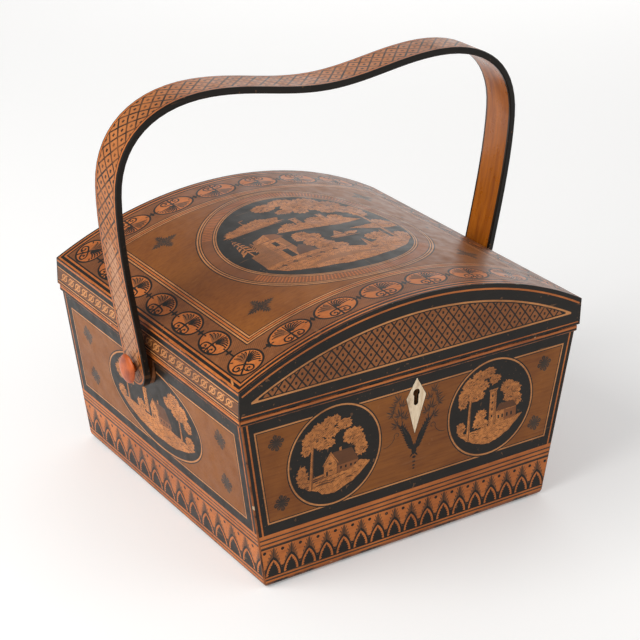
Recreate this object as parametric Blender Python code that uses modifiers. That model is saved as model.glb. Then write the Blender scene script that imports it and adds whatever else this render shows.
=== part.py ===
# A Regency style work box: a tapered wooden carcass, a hinged lid with a shallow arched top,
# and a bent wooden carrying handle that swings on a turned peg at each side.
# Metres, +Z up. The front faces -Y. The origin is the middle of the underside.
import math

import bmesh
import bpy
from mathutils import Matrix, Vector

# Carcass
BODY_WIDTH = 0.2160
BODY_DEPTH = 0.1954
BODY_HEIGHT = 0.1017
BASE_WIDTH = 0.1852
WALL = 0.0060
FLOOR_THICKNESS = 0.0060
RIM_HEIGHT = 0.0036
RIM_PROUD = 0.0006
BASE_ROUND = 0.0030
CORNER_ROUND = 0.0008

# Lid
LID_SIDE_HEIGHT = 0.0154
LID_RISE = 0.0277
LID_OVERHANG = 0.0008
LID_WALL = 0.0060
LID_TOP_THICKNESS = 0.0055
LID_EDGE_ROUND = 0.0008
SEAM_GAP = 0.0006
ARCH_STEPS = 32

# Handle, a strip bent to a bow, measured on its outer face
HANDLE_WIDTH = 0.0224
HANDLE_THICKNESS = 0.0038
PIVOT_DROP = 0.0099
BOW_RISE = 0.1484
BOW_DIP = 0.0078
BOW_REACH = 0.1274
BOW_REACH_RISE = 0.1011
SHOULDER_OUT = 0.0720
PIVOT_STANDOFF = 0.0082
END_REACH = 0.0115
END_ROUND_HEIGHT = 0.0130
END_LEAN_DEG = 5.0
HANDLE_EDGE_ROUND = 0.0005

# Turned pegs that the handle swings on, and the pads behind its ends
PEG_SHANK_RADIUS = 0.0024
PEG_NECK_RADIUS = 0.0037
PEG_NECK_LENGTH = 0.0012
PEG_HEAD_RADIUS = 0.0080
PEG_HEAD_THICKNESS = 0.0028
PAD_HALF_WIDTH = 0.0100
PAD_DROP = 0.0112
PAD_STANDOFF = 0.0019

# Bone escutcheon let into the front
PLATE_HEIGHT = 0.0325
PLATE_WIDTH = 0.0126
PLATE_THICKNESS = 0.0012
PLATE_TOP_DROP = 0.0044
PLATE_WAIST = 0.335
KEYHOLE_HEIGHT = 0.0096
KEYHOLE_RADIUS = 0.0022
KEYHOLE_SLOT = 0.0030
KEYHOLE_DROP = 0.0130

# Brass butt hinges on the back edge
HINGE_LENGTH = 0.0250
HINGE_OFFSET = 0.0600
HINGE_KNUCKLES = 5
KNUCKLE_RADIUS = 0.0022
HINGE_PIN_RADIUS = 0.0008
LEAF_THICKNESS = 0.0009
LEAF_WIDTH = 0.0045

# Gap between pieces that touch, and how far a cutter runs past what it cuts
CLEARANCE = 0.0003
OVERRUN = 0.0040

# Worked out from the sizes above
TAPER = (BODY_WIDTH - BASE_WIDTH) / 2 / BODY_HEIGHT
SIDE_LEAN = math.atan(TAPER)
WALL_ALONG_X = WALL / math.cos(SIDE_LEAN)
LID_BOTTOM = BODY_HEIGHT + SEAM_GAP
LID_HALF_WIDTH = BODY_WIDTH / 2 + LID_OVERHANG
LID_HALF_DEPTH = BODY_DEPTH / 2 + LID_OVERHANG
HINGE_Y = LID_HALF_DEPTH + CLEARANCE + KNUCKLE_RADIUS
HINGE_Z = BODY_HEIGHT + SEAM_GAP / 2
RIM_BOTTOM = BODY_HEIGHT - RIM_HEIGHT
PIVOT_HEIGHT = BODY_HEIGHT - PIVOT_DROP
BOW_HEIGHT = PIVOT_HEIGHT + BOW_RISE
BOW_REACH_HEIGHT = PIVOT_HEIGHT + BOW_REACH_RISE


def side_x(z):
    """Half width of the carcass under its rim at a height."""
    return BASE_WIDTH / 2 - RIM_PROUD + TAPER * z


PIVOT_X = side_x(PIVOT_HEIGHT) + PIVOT_STANDOFF

COLOURS = {
    "penwork": ((0.36, 0.17, 0.06, 1.0), 0.35, 0.0),
    "bone": ((0.80, 0.74, 0.62, 1.0), 0.40, 0.0),
    "peg_wood": ((0.58, 0.20, 0.05, 1.0), 0.30, 0.0),
    "pad_wood": ((0.30, 0.12, 0.04, 1.0), 0.45, 0.0),
    "brass": ((0.62, 0.44, 0.16, 1.0), 0.35, 1.0),
}


def clear_scene():
    for item in list(bpy.data.objects):
        bpy.data.objects.remove(item, do_unlink=True)


def make_collection(name):
    group = bpy.data.collections.new(name)
    bpy.context.scene.collection.children.link(group)
    return group


def make_materials():
    made = {}
    for name, (colour, roughness, metallic) in COLOURS.items():
        material = bpy.data.materials.new(name)
        material.use_nodes = True
        shader = material.node_tree.nodes["Principled BSDF"]
        shader.inputs["Base Color"].default_value = colour
        shader.inputs["Roughness"].default_value = roughness
        shader.inputs["Metallic"].default_value = metallic
        material.diffuse_color = colour
        made[name] = material
    return made


def add_object(name, mesh, group, material=None):
    item = bpy.data.objects.new(name, mesh)
    group.objects.link(item)
    if material:
        mesh.materials.clear()
        mesh.materials.append(material)
    return item


def mesh_from(bm, name):
    mesh = bpy.data.meshes.new(name)
    bm.normal_update()
    bm.to_mesh(mesh)
    bm.free()
    return mesh


def block_mesh(name, low, high):
    """A plain rectangular block between two corners."""
    bm = bmesh.new()
    bmesh.ops.create_cube(bm, size=1.0)
    size = [b - a for a, b in zip(low, high)]
    middle = Vector([(a + b) / 2 for a, b in zip(low, high)])
    bmesh.ops.transform(bm, matrix=Matrix.Translation(middle) @ Matrix.Diagonal((*size, 1.0)), verts=bm.verts)
    return mesh_from(bm, name)


def tapered_mesh(name, half_x, half_y, z_low, z_high):
    """A block whose half width follows half_x(z), with straight front and back."""
    bm = bmesh.new()
    bmesh.ops.create_cube(bm, size=2.0)
    for vert in bm.verts:
        z = z_high if vert.co.z > 0 else z_low
        vert.co = Vector((vert.co.x * half_x(z), vert.co.y * half_y, z))
    return mesh_from(bm, name)


def rod_mesh(name, radius, start, end, axis, sides=32):
    """A cylinder along X or Y between two points of its axis."""
    bm = bmesh.new()
    length = (Vector(end) - Vector(start)).length
    bmesh.ops.create_cone(bm, cap_ends=True, segments=sides, radius1=radius, radius2=radius, depth=length)
    turn = Matrix.Rotation(math.pi / 2, 4, "Y" if axis == "X" else "X")
    middle = (Vector(start) + Vector(end)) / 2
    bmesh.ops.transform(bm, matrix=Matrix.Translation(middle) @ turn, verts=bm.verts)
    return mesh_from(bm, name)


def plate_mesh(name, outline, thickness, matrix):
    """A flat outline, given in its own XY plane, made a plate half its thickness each way, then placed."""
    curve = bpy.data.curves.new(name, "CURVE")
    curve.dimensions = "2D"
    curve.fill_mode = "BOTH"
    curve.extrude = thickness / 2
    spline = curve.splines.new("POLY")
    spline.points.add(len(outline) - 1)
    for point, (x, y) in zip(spline.points, outline):
        point.co = (x, y, 0.0, 1.0)
    spline.use_cyclic_u = True
    holder = bpy.data.objects.new(name, curve)
    bpy.context.scene.collection.objects.link(holder)
    mesh = welded_copy(holder)
    mesh.transform(matrix)
    bpy.data.objects.remove(holder, do_unlink=True)
    return mesh


def welded_copy(holder):
    """The evaluated mesh of an object, with doubled points merged."""
    bpy.context.view_layer.update()
    graph = bpy.context.evaluated_depsgraph_get()
    mesh = bpy.data.meshes.new_from_object(holder.evaluated_get(graph))
    bm = bmesh.new()
    bm.from_mesh(mesh)
    bmesh.ops.remove_doubles(bm, verts=bm.verts, dist=0.00001)
    bmesh.ops.recalc_face_normals(bm, faces=bm.faces)
    bm.to_mesh(mesh)
    bm.free()
    return mesh


def facing_front(y):
    """Places a plate drawn as (x, z) so that it stands in the plane of the front, at depth y."""
    return Matrix.Translation((0.0, y, 0.0)) @ Matrix.Rotation(math.pi / 2, 4, "X")


def facing_side(x):
    """Places a plate drawn as (y, z) so that it stands in the plane of a side, at x."""
    turn = Matrix(((0, 0, 1), (1, 0, 0), (0, 1, 0))).to_4x4()
    return Matrix.Translation((x, 0.0, 0.0)) @ turn


def boolean(item, tool, operation="DIFFERENCE"):
    step = item.modifiers.new(operation.title() + " " + tool.name, "BOOLEAN")
    step.operation = operation
    step.object = tool
    return step


def add_tool(name, mesh, tools):
    tool = add_object(name, mesh, tools)
    tool.hide_render = True
    tool.display_type = "WIRE"
    return tool


def soften(item, width, segments=2, angle_deg=40.0):
    step = item.modifiers.new("Soft edges", "BEVEL")
    step.width = width
    step.segments = segments
    step.limit_method = "ANGLE"
    step.angle_limit = math.radians(angle_deg)
    return step


def shade_round(mesh, angle_deg=30.0):
    mesh.shade_smooth()
    mesh.set_sharp_from_angle(angle=math.radians(angle_deg))


def weigh_carcass_edges(mesh):
    """Full bevel weight on the bottom edges, and a share of it on the upright corners."""
    weights = mesh.attributes.new("bevel_weight_edge", "FLOAT", "EDGE")
    for edge in mesh.edges:
        heights = [mesh.vertices[i].co.z for i in edge.vertices]
        if max(heights) < BODY_HEIGHT / 2:
            weights.data[edge.index].value = 1.0
        elif min(heights) < BODY_HEIGHT / 2:
            weights.data[edge.index].value = CORNER_ROUND / BASE_ROUND


def build_carcass(group, tools, materials):
    shell_top = BODY_HEIGHT - RIM_HEIGHT / 2
    mesh = tapered_mesh("box_body", side_x, BODY_DEPTH / 2 - RIM_PROUD, 0.0, shell_top)
    weigh_carcass_edges(mesh)
    body = add_object("box_body", mesh, group, materials["penwork"])
    rounding = body.modifiers.new("Worn edges", "BEVEL")
    rounding.width = BASE_ROUND
    rounding.segments = 3
    rounding.limit_method = "WEIGHT"

    rim_mesh = block_mesh("rim", (-BODY_WIDTH / 2, -BODY_DEPTH / 2, RIM_BOTTOM),
                          (BODY_WIDTH / 2, BODY_DEPTH / 2, BODY_HEIGHT))
    rim = add_tool("rim", rim_mesh, tools)
    soften(rim, RIM_PROUD)
    boolean(body, rim, "UNION")

    hollow_mesh = tapered_mesh("inside", lambda z: side_x(z) - WALL_ALONG_X, BODY_DEPTH / 2 - RIM_PROUD - WALL,
                               FLOOR_THICKNESS, BODY_HEIGHT + OVERRUN)
    boolean(body, add_tool("inside", hollow_mesh, tools))

    pocket_mesh = plate_mesh("plate_pocket", kite_outline(CLEARANCE), PLATE_THICKNESS + CLEARANCE + OVERRUN,
                             facing_front(plate_back() - CLEARANCE - (PLATE_THICKNESS + OVERRUN) / 2))
    pocket = add_tool("plate_pocket", pocket_mesh, tools)
    pocket.location.y = CLEARANCE * 1.5
    boolean(body, pocket)

    bore_mesh = plate_mesh("keyhole_bore", keyhole_outline(CLEARANCE), WALL * 2 + OVERRUN,
                           facing_front(-BODY_DEPTH / 2 + WALL / 2))
    boolean(body, add_tool("keyhole_bore", bore_mesh, tools))

    reach = BODY_WIDTH / 2 + OVERRUN
    start = side_x(PIVOT_HEIGHT) - WALL_ALONG_X - OVERRUN
    for side, sign in (("left", -1), ("right", 1)):
        name = "peg_hole_" + side
        hole = rod_mesh(name, PEG_SHANK_RADIUS + CLEARANCE, (sign * start, 0, PIVOT_HEIGHT),
                        (sign * reach, 0, PIVOT_HEIGHT), "X")
        boolean(body, add_tool(name, hole, tools))
    for side, sign in (("left", -1), ("right", 1)):
        boolean(body, leaf_recess("body_recess_" + side, sign, BODY_HEIGHT - LEAF_THICKNESS - CLEARANCE,
                                  BODY_HEIGHT + SEAM_GAP / 2, tools))
    return body


def leaf_recess(name, sign, z_low, z_high, tools):
    """The shallow housing that a hinge leaf lies in."""
    half = HINGE_LENGTH / 2 + CLEARANCE
    middle = sign * HINGE_OFFSET
    low = (middle - half, leaf_inner_y() - CLEARANCE, z_low)
    high = (middle + half, LID_HALF_DEPTH + OVERRUN, z_high)
    return add_tool(name, block_mesh(name, low, high), tools)


def leaf_inner_y():
    return BODY_DEPTH / 2 - LEAF_WIDTH


def arch_outline(half_width, z_low, z_spring, radius, centre_z):
    """Straight sides up to the springing line, then an arc of a circle over the top."""
    sweep = math.asin(half_width / radius)
    points = [(half_width, z_low)]
    for step in range(ARCH_STEPS + 1):
        angle = sweep - 2 * sweep * step / ARCH_STEPS
        points.append((radius * math.sin(angle), centre_z + radius * math.cos(angle)))
    points.append((-half_width, z_low))
    return points


def build_lid(group, tools, materials):
    spring = LID_BOTTOM + LID_SIDE_HEIGHT
    radius = (LID_HALF_WIDTH ** 2 + LID_RISE ** 2) / (2 * LID_RISE)
    centre = spring + LID_RISE - radius
    outline = arch_outline(LID_HALF_WIDTH, LID_BOTTOM, spring, radius, centre)
    lid = add_object("lid", plate_mesh("lid", outline, 2 * LID_HALF_DEPTH, facing_front(0.0)), group,
                     materials["penwork"])
    soften(lid, LID_EDGE_ROUND)
    inner = arch_outline(LID_HALF_WIDTH - LID_WALL, LID_BOTTOM - OVERRUN, spring, radius - LID_TOP_THICKNESS, centre)
    hollow = plate_mesh("lid_inside", inner, 2 * (LID_HALF_DEPTH - LID_WALL), facing_front(0.0))
    boolean(lid, add_tool("lid_inside", hollow, tools))
    for side, sign in (("left", -1), ("right", 1)):
        boolean(lid, leaf_recess("lid_recess_" + side, sign, LID_BOTTOM - SEAM_GAP / 2,
                                 LID_BOTTOM + LEAF_THICKNESS + CLEARANCE, tools))
    return lid


def kite_outline(grow=0.0):
    """The escutcheon's diamond, its widest point above the middle, as (x, z) points."""
    top = BODY_HEIGHT - PLATE_TOP_DROP
    waist = top - PLATE_HEIGHT * PLATE_WAIST
    half = PLATE_WIDTH / 2 + grow
    return [(0.0, top + 2 * grow), (-half, waist), (0.0, top - PLATE_HEIGHT - 2 * grow), (half, waist)]


def keyhole_outline(grow=0.0, steps=20):
    """A round hole over a slot with a round foot, as (x, z) points."""
    radius = KEYHOLE_RADIUS + grow
    half = KEYHOLE_SLOT / 2 + grow
    eye = BODY_HEIGHT - KEYHOLE_DROP
    foot = eye + KEYHOLE_RADIUS - KEYHOLE_HEIGHT + KEYHOLE_SLOT / 2
    gap = math.asin(half / radius)
    points = []
    for step in range(steps + 1):
        angle = -math.pi / 2 + gap + (2 * math.pi - 2 * gap) * step / steps
        points.append((radius * math.cos(angle), eye + radius * math.sin(angle)))
    for step in range(7):
        angle = math.pi + math.pi * step / 6
        points.append((half * math.cos(angle), foot + half * math.sin(angle)))
    return points


def plate_back():
    """Depth of the escutcheon's back, so that its face is flush with the front."""
    return -(BODY_DEPTH / 2 - RIM_PROUD) + PLATE_THICKNESS


def build_escutcheon(group, tools, materials):
    mesh = plate_mesh("escutcheon", kite_outline(), PLATE_THICKNESS,
                      facing_front(plate_back() - PLATE_THICKNESS / 2))
    plate = add_object("escutcheon", mesh, group, materials["bone"])
    hole = plate_mesh("keyhole", keyhole_outline(), PLATE_THICKNESS + 2 * OVERRUN,
                      facing_front(plate_back() - PLATE_THICKNESS / 2))
    boolean(plate, add_tool("keyhole", hole, tools))
    return plate


def bow_curve():
    """The outer line of the bent strip as a ribbon of the strip's width, from one end to the other."""
    lean = math.radians(END_LEAN_DEG)
    tip = (PIVOT_X - END_REACH * math.tan(2 * lean), PIVOT_HEIGHT - END_REACH)
    foot_pull = END_REACH * 2.2
    bend_down = (BOW_REACH_HEIGHT - PIVOT_HEIGHT) * 0.37
    bend_up = (BOW_HEIGHT - BOW_REACH_HEIGHT) * 0.65
    shoulder_pull = (BOW_REACH - SHOULDER_OUT) * 0.61
    dip_pull = SHOULDER_OUT * 0.36
    top_dip = BOW_HEIGHT - BOW_DIP
    half = [
        (tip, tip, (tip[0] + foot_pull * math.sin(lean), tip[1] + foot_pull * math.cos(lean))),
        ((BOW_REACH, BOW_REACH_HEIGHT), (BOW_REACH, BOW_REACH_HEIGHT - bend_down),
         (BOW_REACH, BOW_REACH_HEIGHT + bend_up)),
        ((SHOULDER_OUT, BOW_HEIGHT), (SHOULDER_OUT + shoulder_pull, BOW_HEIGHT),
         (SHOULDER_OUT - dip_pull, BOW_HEIGHT)),
        ((0.0, top_dip), (dip_pull, top_dip), (-dip_pull, top_dip)),
    ]
    mirrored = [tuple((-x, z) for x, z in (point, after, before)) for point, before, after in reversed(half[:-1])]
    curve = bpy.data.curves.new("bow", "CURVE")
    curve.dimensions = "2D"
    curve.fill_mode = "NONE"
    curve.extrude = HANDLE_WIDTH / 2
    curve.resolution_u = 14
    spline = curve.splines.new("BEZIER")
    points = half + mirrored
    spline.bezier_points.add(len(points) - 1)
    for knot, (place, before, after) in zip(spline.bezier_points, points):
        knot.handle_left_type = "FREE"
        knot.handle_right_type = "FREE"
        knot.co = (*place, 0.0)
        knot.handle_left = (*before, 0.0)
        knot.handle_right = (*after, 0.0)
    return curve


def end_cutter_mesh(name, tools, sign):
    """A block round one end of the strip, with the rounded end itself left out of it."""
    round_centre = PIVOT_HEIGHT - END_REACH + END_ROUND_HEIGHT
    inner, outer = PIVOT_X - HANDLE_WIDTH / 2, PIVOT_X + HANDLE_WIDTH / 2
    low_x, high_x = sorted((sign * inner, sign * outer))
    block = add_tool(name, block_mesh(name, (low_x, -HANDLE_WIDTH, round_centre - END_REACH - END_ROUND_HEIGHT),
                                      (high_x, HANDLE_WIDTH, round_centre)), tools)
    steps = 48
    outline = []
    for step in range(steps):
        angle = 2 * math.pi * step / steps
        outline.append((HANDLE_WIDTH / 2 * math.cos(angle), round_centre + END_ROUND_HEIGHT * math.sin(angle)))
    keep_mesh = plate_mesh(name + "_keep", outline, 2 * HANDLE_WIDTH, facing_side(sign * PIVOT_X))
    keep = add_tool(name + "_keep", keep_mesh, tools)
    boolean(block, keep)
    return block


def build_handle(group, tools, materials):
    holder = bpy.data.objects.new("bow", bow_curve())
    bpy.context.scene.collection.objects.link(holder)
    ribbon = welded_copy(holder)
    bpy.data.objects.remove(holder, do_unlink=True)
    ribbon.transform(Matrix.Rotation(math.pi / 2, 4, "X"))
    handle = add_object("handle", ribbon, group, materials["penwork"])
    pull_origin(handle, Vector((0.0, 0.0, PIVOT_HEIGHT)))
    thick = handle.modifiers.new("Thickness", "SOLIDIFY")
    thick.thickness = HANDLE_THICKNESS
    thick.offset = -1.0 if ribbon_faces_out(ribbon) else 1.0
    soften(handle, HANDLE_EDGE_ROUND, segments=1, angle_deg=60.0)
    for side, sign in (("left", -1), ("right", 1)):
        boolean(handle, end_cutter_mesh("end_block_" + side, tools, sign))
    for side, sign in (("left", -1), ("right", 1)):
        name = "handle_hole_" + side
        reach = HANDLE_THICKNESS + OVERRUN
        ends = ((sign * (PIVOT_X - reach), 0, PIVOT_HEIGHT), (sign * (PIVOT_X + reach), 0, PIVOT_HEIGHT))
        hole = rod_mesh(name, PEG_SHANK_RADIUS + CLEARANCE, *ends, "X")
        boolean(handle, add_tool(name, hole, tools))
    return handle


def ribbon_faces_out(mesh):
    """Whether the ribbon's faces point up at the top of the bow."""
    top = max(mesh.polygons, key=lambda face: face.center.z)
    return top.normal.z > 0


def pull_origin(item, place):
    """Moves an object's origin to a place without moving its mesh."""
    item.data.transform(Matrix.Translation(-place))
    item.location = place


def build_pads(group, tools, materials):
    """Wooden pads glued to the sides under the rim, which hold the strip's ends off the box."""
    face_x = side_x(PIVOT_HEIGHT) + PAD_STANDOFF
    inner_x = side_x(0.0)
    top = RIM_BOTTOM - CLEARANCE
    round_top = PIVOT_HEIGHT - PAD_DROP + END_ROUND_HEIGHT
    outline = [(PAD_HALF_WIDTH, top)]
    steps = 24
    for step in range(steps + 1):
        angle = -math.pi * step / steps
        outline.append((PAD_HALF_WIDTH * math.cos(angle),
                        min(round_top, top - CLEARANCE) + END_ROUND_HEIGHT * math.sin(angle)))
    outline.append((-PAD_HALF_WIDTH, top))
    wedge_mesh = tapered_mesh("side_wedge", lambda z: side_x(z) + CLEARANCE, BODY_DEPTH, -OVERRUN,
                              BODY_HEIGHT + OVERRUN)
    wedge = add_tool("side_wedge", wedge_mesh, tools)
    for side, sign in (("left", -1), ("right", 1)):
        name = "handle_pad_" + side
        mesh = plate_mesh(name, outline, face_x - inner_x, facing_side(sign * (face_x + inner_x) / 2))
        pad = add_object(name, mesh, group, materials["pad_wood"])
        boolean(pad, wedge)
        hole = rod_mesh("pad_hole_" + side, PEG_SHANK_RADIUS + CLEARANCE,
                        (sign * inner_x, 0, PIVOT_HEIGHT), (sign * (face_x + OVERRUN), 0, PIVOT_HEIGHT), "X")
        boolean(pad, add_tool("pad_hole_" + side, hole, tools))


def peg_profile():
    """The turned peg from the middle of its head down to its inner end, as (radius, height) points."""
    inner_end = side_x(PIVOT_HEIGHT) - WALL_ALONG_X + CLEARANCE - PIVOT_X
    neck_start = CLEARANCE + HANDLE_EDGE_ROUND + PEG_NECK_RADIUS * math.tan(math.radians(2 * END_LEAN_DEG))
    under_head = neck_start + PEG_NECK_LENGTH
    crown = under_head + PEG_HEAD_THICKNESS
    rim_low = under_head + PEG_HEAD_THICKNESS * 0.18
    points = [(0.0, crown)]
    for step in range(1, 8):
        angle = math.pi / 2 * step / 7
        points.append((PEG_HEAD_RADIUS * math.sin(angle) ** 0.8,
                       rim_low + (crown - rim_low) * math.cos(angle)))
    points.append((PEG_HEAD_RADIUS - PEG_HEAD_THICKNESS * 0.2, under_head))
    points.append((PEG_NECK_RADIUS, under_head))
    points.append((PEG_NECK_RADIUS, neck_start))
    points.append((PEG_SHANK_RADIUS, neck_start))
    points.append((PEG_SHANK_RADIUS, inner_end))
    points.append((0.0, inner_end))
    return points


def turned_mesh(name, profile, sides=36):
    """A profile of (radius, height) points screwed round the vertical axis into a closed solid."""
    mesh = bpy.data.meshes.new(name)
    points = [(radius, 0.0, height) for radius, height in profile]
    mesh.from_pydata(points, [(i, i + 1) for i in range(len(points) - 1)], [])
    holder = bpy.data.objects.new(name, mesh)
    bpy.context.scene.collection.objects.link(holder)
    screw = holder.modifiers.new("Turn", "SCREW")
    screw.steps = sides
    screw.render_steps = sides
    screw.use_merge_vertices = True
    screw.merge_threshold = 0.00001
    turned = welded_copy(holder)
    bpy.data.objects.remove(holder, do_unlink=True)
    shade_round(turned)
    return turned


def build_pegs(group, materials):
    for side, sign in (("left", -1), ("right", 1)):
        name = "peg_" + side
        peg = add_object(name, turned_mesh(name, peg_profile()), group, materials["peg_wood"])
        peg.location = (sign * PIVOT_X, 0.0, PIVOT_HEIGHT)
        peg.rotation_euler = (0.0, sign * math.pi / 2, 0.0)


def knuckle_span(index, middle):
    """Where one knuckle of a hinge starts and ends along X."""
    step = HINGE_LENGTH / HINGE_KNUCKLES
    start = middle - HINGE_LENGTH / 2 + index * step
    return start + CLEARANCE / 2, start + step - CLEARANCE / 2


def build_leaf(name, middle, first, z_low, group, tools, material):
    """A hinge leaf with every second knuckle, starting from the first one given."""
    half = HINGE_LENGTH / 2
    edge = HINGE_Y - KNUCKLE_RADIUS - CLEARANCE
    mesh = block_mesh(name, (middle - half, leaf_inner_y(), z_low), (middle + half, edge, z_low + LEAF_THICKNESS))
    leaf = add_object(name, mesh, group, material)
    for index in range(first, HINGE_KNUCKLES, 2):
        x_low, x_high = knuckle_span(index, middle)
        tab_name = "%s_tab_%d" % (name, index)
        tab = block_mesh(tab_name, (x_low, edge - LEAF_WIDTH / 2, z_low), (x_high, HINGE_Y, z_low + LEAF_THICKNESS))
        boolean(leaf, add_tool(tab_name, tab, tools), "UNION")
        barrel_name = "%s_barrel_%d" % (name, index)
        barrel = rod_mesh(barrel_name, KNUCKLE_RADIUS, (x_low, HINGE_Y, HINGE_Z), (x_high, HINGE_Y, HINGE_Z), "X")
        boolean(leaf, add_tool(barrel_name, barrel, tools), "UNION")
    bore_name = name + "_bore"
    bore = rod_mesh(bore_name, HINGE_PIN_RADIUS + CLEARANCE, (middle - HINGE_LENGTH, HINGE_Y, HINGE_Z),
                    (middle + HINGE_LENGTH, HINGE_Y, HINGE_Z), "X", 24)
    boolean(leaf, add_tool(bore_name, bore, tools))
    return leaf


def build_hinges(group, tools, materials):
    for side, sign in (("left", -1), ("right", 1)):
        middle = sign * HINGE_OFFSET
        build_leaf("hinge_%s_box_leaf" % side, middle, 0, BODY_HEIGHT - LEAF_THICKNESS, group, tools,
                   materials["brass"])
        build_leaf("hinge_%s_lid_leaf" % side, middle, 1, LID_BOTTOM, group, tools, materials["brass"])
        name = "hinge_%s_pin" % side
        half = HINGE_LENGTH / 2
        pin = add_object(name, rod_mesh(name, HINGE_PIN_RADIUS, (-half, 0, 0), (half, 0, 0), "X", 24), group,
                         materials["brass"])
        shade_round(pin.data)
        pin.location = (middle, HINGE_Y, HINGE_Z)


def main():
    clear_scene()
    group = make_collection("sewing_box")
    tools = make_collection("cutters")
    materials = make_materials()
    build_carcass(group, tools, materials)
    build_lid(group, tools, materials)
    build_escutcheon(group, tools, materials)
    build_handle(group, tools, materials)
    build_pads(group, tools, materials)
    build_pegs(group, materials)
    build_hinges(group, tools, materials)


main()
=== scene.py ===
import math
import random
import bmesh
import bpy
import numpy as np
from mathutils import Matrix, Vector
from mathutils.geometry import delaunay_2d_cdt


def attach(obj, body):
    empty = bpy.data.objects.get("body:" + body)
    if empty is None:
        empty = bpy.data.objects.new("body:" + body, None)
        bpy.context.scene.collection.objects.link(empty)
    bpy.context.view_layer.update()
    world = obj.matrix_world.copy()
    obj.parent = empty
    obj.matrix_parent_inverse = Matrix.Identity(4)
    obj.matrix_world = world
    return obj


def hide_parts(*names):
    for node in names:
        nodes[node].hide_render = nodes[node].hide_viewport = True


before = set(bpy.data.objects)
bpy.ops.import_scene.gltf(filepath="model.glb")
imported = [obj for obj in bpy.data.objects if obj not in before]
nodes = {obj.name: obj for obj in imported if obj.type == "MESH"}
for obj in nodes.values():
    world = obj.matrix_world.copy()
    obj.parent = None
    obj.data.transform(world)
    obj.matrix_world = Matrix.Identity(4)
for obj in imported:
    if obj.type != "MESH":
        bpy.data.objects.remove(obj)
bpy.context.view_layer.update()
print("frame loaded:", len(nodes), "nodes")

mm = 0.001


# Camera, set at the photograph's angle

cameraSettings = {"turn": 34.19, "height": 24.83, "roll": 1.23, "target": (9.19, 7.15, 86.75),
                  "distance": 1049.5, "lens": 104.55, "sensor": 36, "clipStart": 0.05}


def makeCamera(s):
    turn = math.radians(s["turn"])
    rise = math.radians(s["height"])
    roll = math.radians(s["roll"])
    back = Vector((-math.sin(turn) * math.cos(rise), -math.cos(turn) * math.cos(rise), math.sin(rise)))
    right = Vector((math.cos(turn), -math.sin(turn), 0))
    up = back.cross(right)
    rolledRight = math.cos(roll) * right + math.sin(roll) * up
    rolledUp = -math.sin(roll) * right + math.cos(roll) * up
    place = Vector(s["target"]) + back * s["distance"]
    camera = bpy.data.objects.new("camera", bpy.data.cameras.new("camera"))
    turned = Matrix((rolledRight, rolledUp, back)).transposed().to_4x4()
    camera.matrix_world = Matrix.Translation(place * mm) @ turned
    camera.data.lens = s["lens"]
    camera.data.sensor_width = s["sensor"]
    camera.data.clip_start = s["clipStart"]
    bpy.context.collection.objects.link(camera)
    bpy.context.scene.camera = camera


makeCamera(cameraSettings)


# Light and floor

lightSettings = {
    "world": 0.47, "colour": (1.0, 0.985, 0.96), "aim": (0, 0, 0.09),
    "floor": 0.9, "floorGlow": 0.16, "floorRough": 0.9, "floorReach": 6,
    "lamps": [
        {"name": "softKey", "at": (-1.2, 0.05, 0.9), "size": 1.2, "power": 18.0},
        {"name": "softFill", "at": (0.9, -1.1, 1.1), "size": 1.2, "power": 3.0},
        {"name": "backCard", "at": (0.95, 1.15, 0.42), "size": 1.2, "power": 5.0},
    ],
}


def makeLights(s):
    world = bpy.data.worlds.new("studio")
    world.use_nodes = True
    background = world.node_tree.nodes["Background"]
    background.inputs["Color"].default_value = (1, 1, 1, 1)
    background.inputs["Strength"].default_value = s["world"]
    bpy.context.scene.world = world
    for lamp in s["lamps"]:
        data = bpy.data.lights.new(lamp["name"], "AREA")
        data.size = lamp["size"]
        data.energy = lamp["power"]
        data.color = s["colour"]
        light = bpy.data.objects.new(lamp["name"], data)
        light.location = lamp["at"]
        aim = Vector(s["aim"]) - Vector(lamp["at"])
        light.rotation_euler = aim.to_track_quat("-Z", "Y").to_euler()
        bpy.context.collection.objects.link(light)


def makeFloor(s):
    mesh = bpy.data.meshes.new("floor")
    reach = s["floorReach"]
    corners = [(-reach, -reach, 0), (reach, -reach, 0), (reach, reach, 0), (-reach, reach, 0)]
    mesh.from_pydata(corners, [], [(0, 1, 2, 3)])
    floor = bpy.data.objects.new("floor", mesh)
    bpy.context.collection.objects.link(floor)
    paper = bpy.data.materials.new("studioPaper")
    paper.use_nodes = True
    shader = paper.node_tree.nodes["Principled BSDF"]
    shader.inputs["Base Color"].default_value = (s["floor"], s["floor"], s["floor"], 1)
    shader.inputs["Roughness"].default_value = s["floorRough"]
    shader.inputs["Emission Color"].default_value = (1, 1, 1, 1)
    shader.inputs["Emission Strength"].default_value = s["floorGlow"]
    mesh.materials.append(paper)


makeLights(lightSettings)
makeFloor(lightSettings)
bpy.context.scene.view_settings.view_transform = "Standard"
print("camera, light and floor made")


# Node helpers

def paint(red, green, blue):  # a colour as a paint chart gives it, made linear
    def linear(value):
        value /= 255
        return value / 12.92 if value < 0.04045 else ((value + 0.055) / 1.055) ** 2.4
    return (linear(red), linear(green), linear(blue), 1.0)


def addNode(tree, kind, feeds=None, **settings):
    node = tree.nodes.new(kind)
    for key, value in settings.items():
        setattr(node, key, value)
    for key, value in (feeds or {}).items():
        if isinstance(value, bpy.types.NodeSocket):
            tree.links.new(value, node.inputs[key])
        else:
            node.inputs[key].default_value = value
    return node


def addMath(tree, how, *values, clamp=False):
    feeds = {i: value for i, value in enumerate(values)}
    return addNode(tree, "ShaderNodeMath", feeds, operation=how, use_clamp=clamp).outputs[0]


def addMix(tree, factor, first, second):
    return addNode(tree, "ShaderNodeMix", {0: factor, 6: first, 7: second}, data_type="RGBA").outputs[2]


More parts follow.
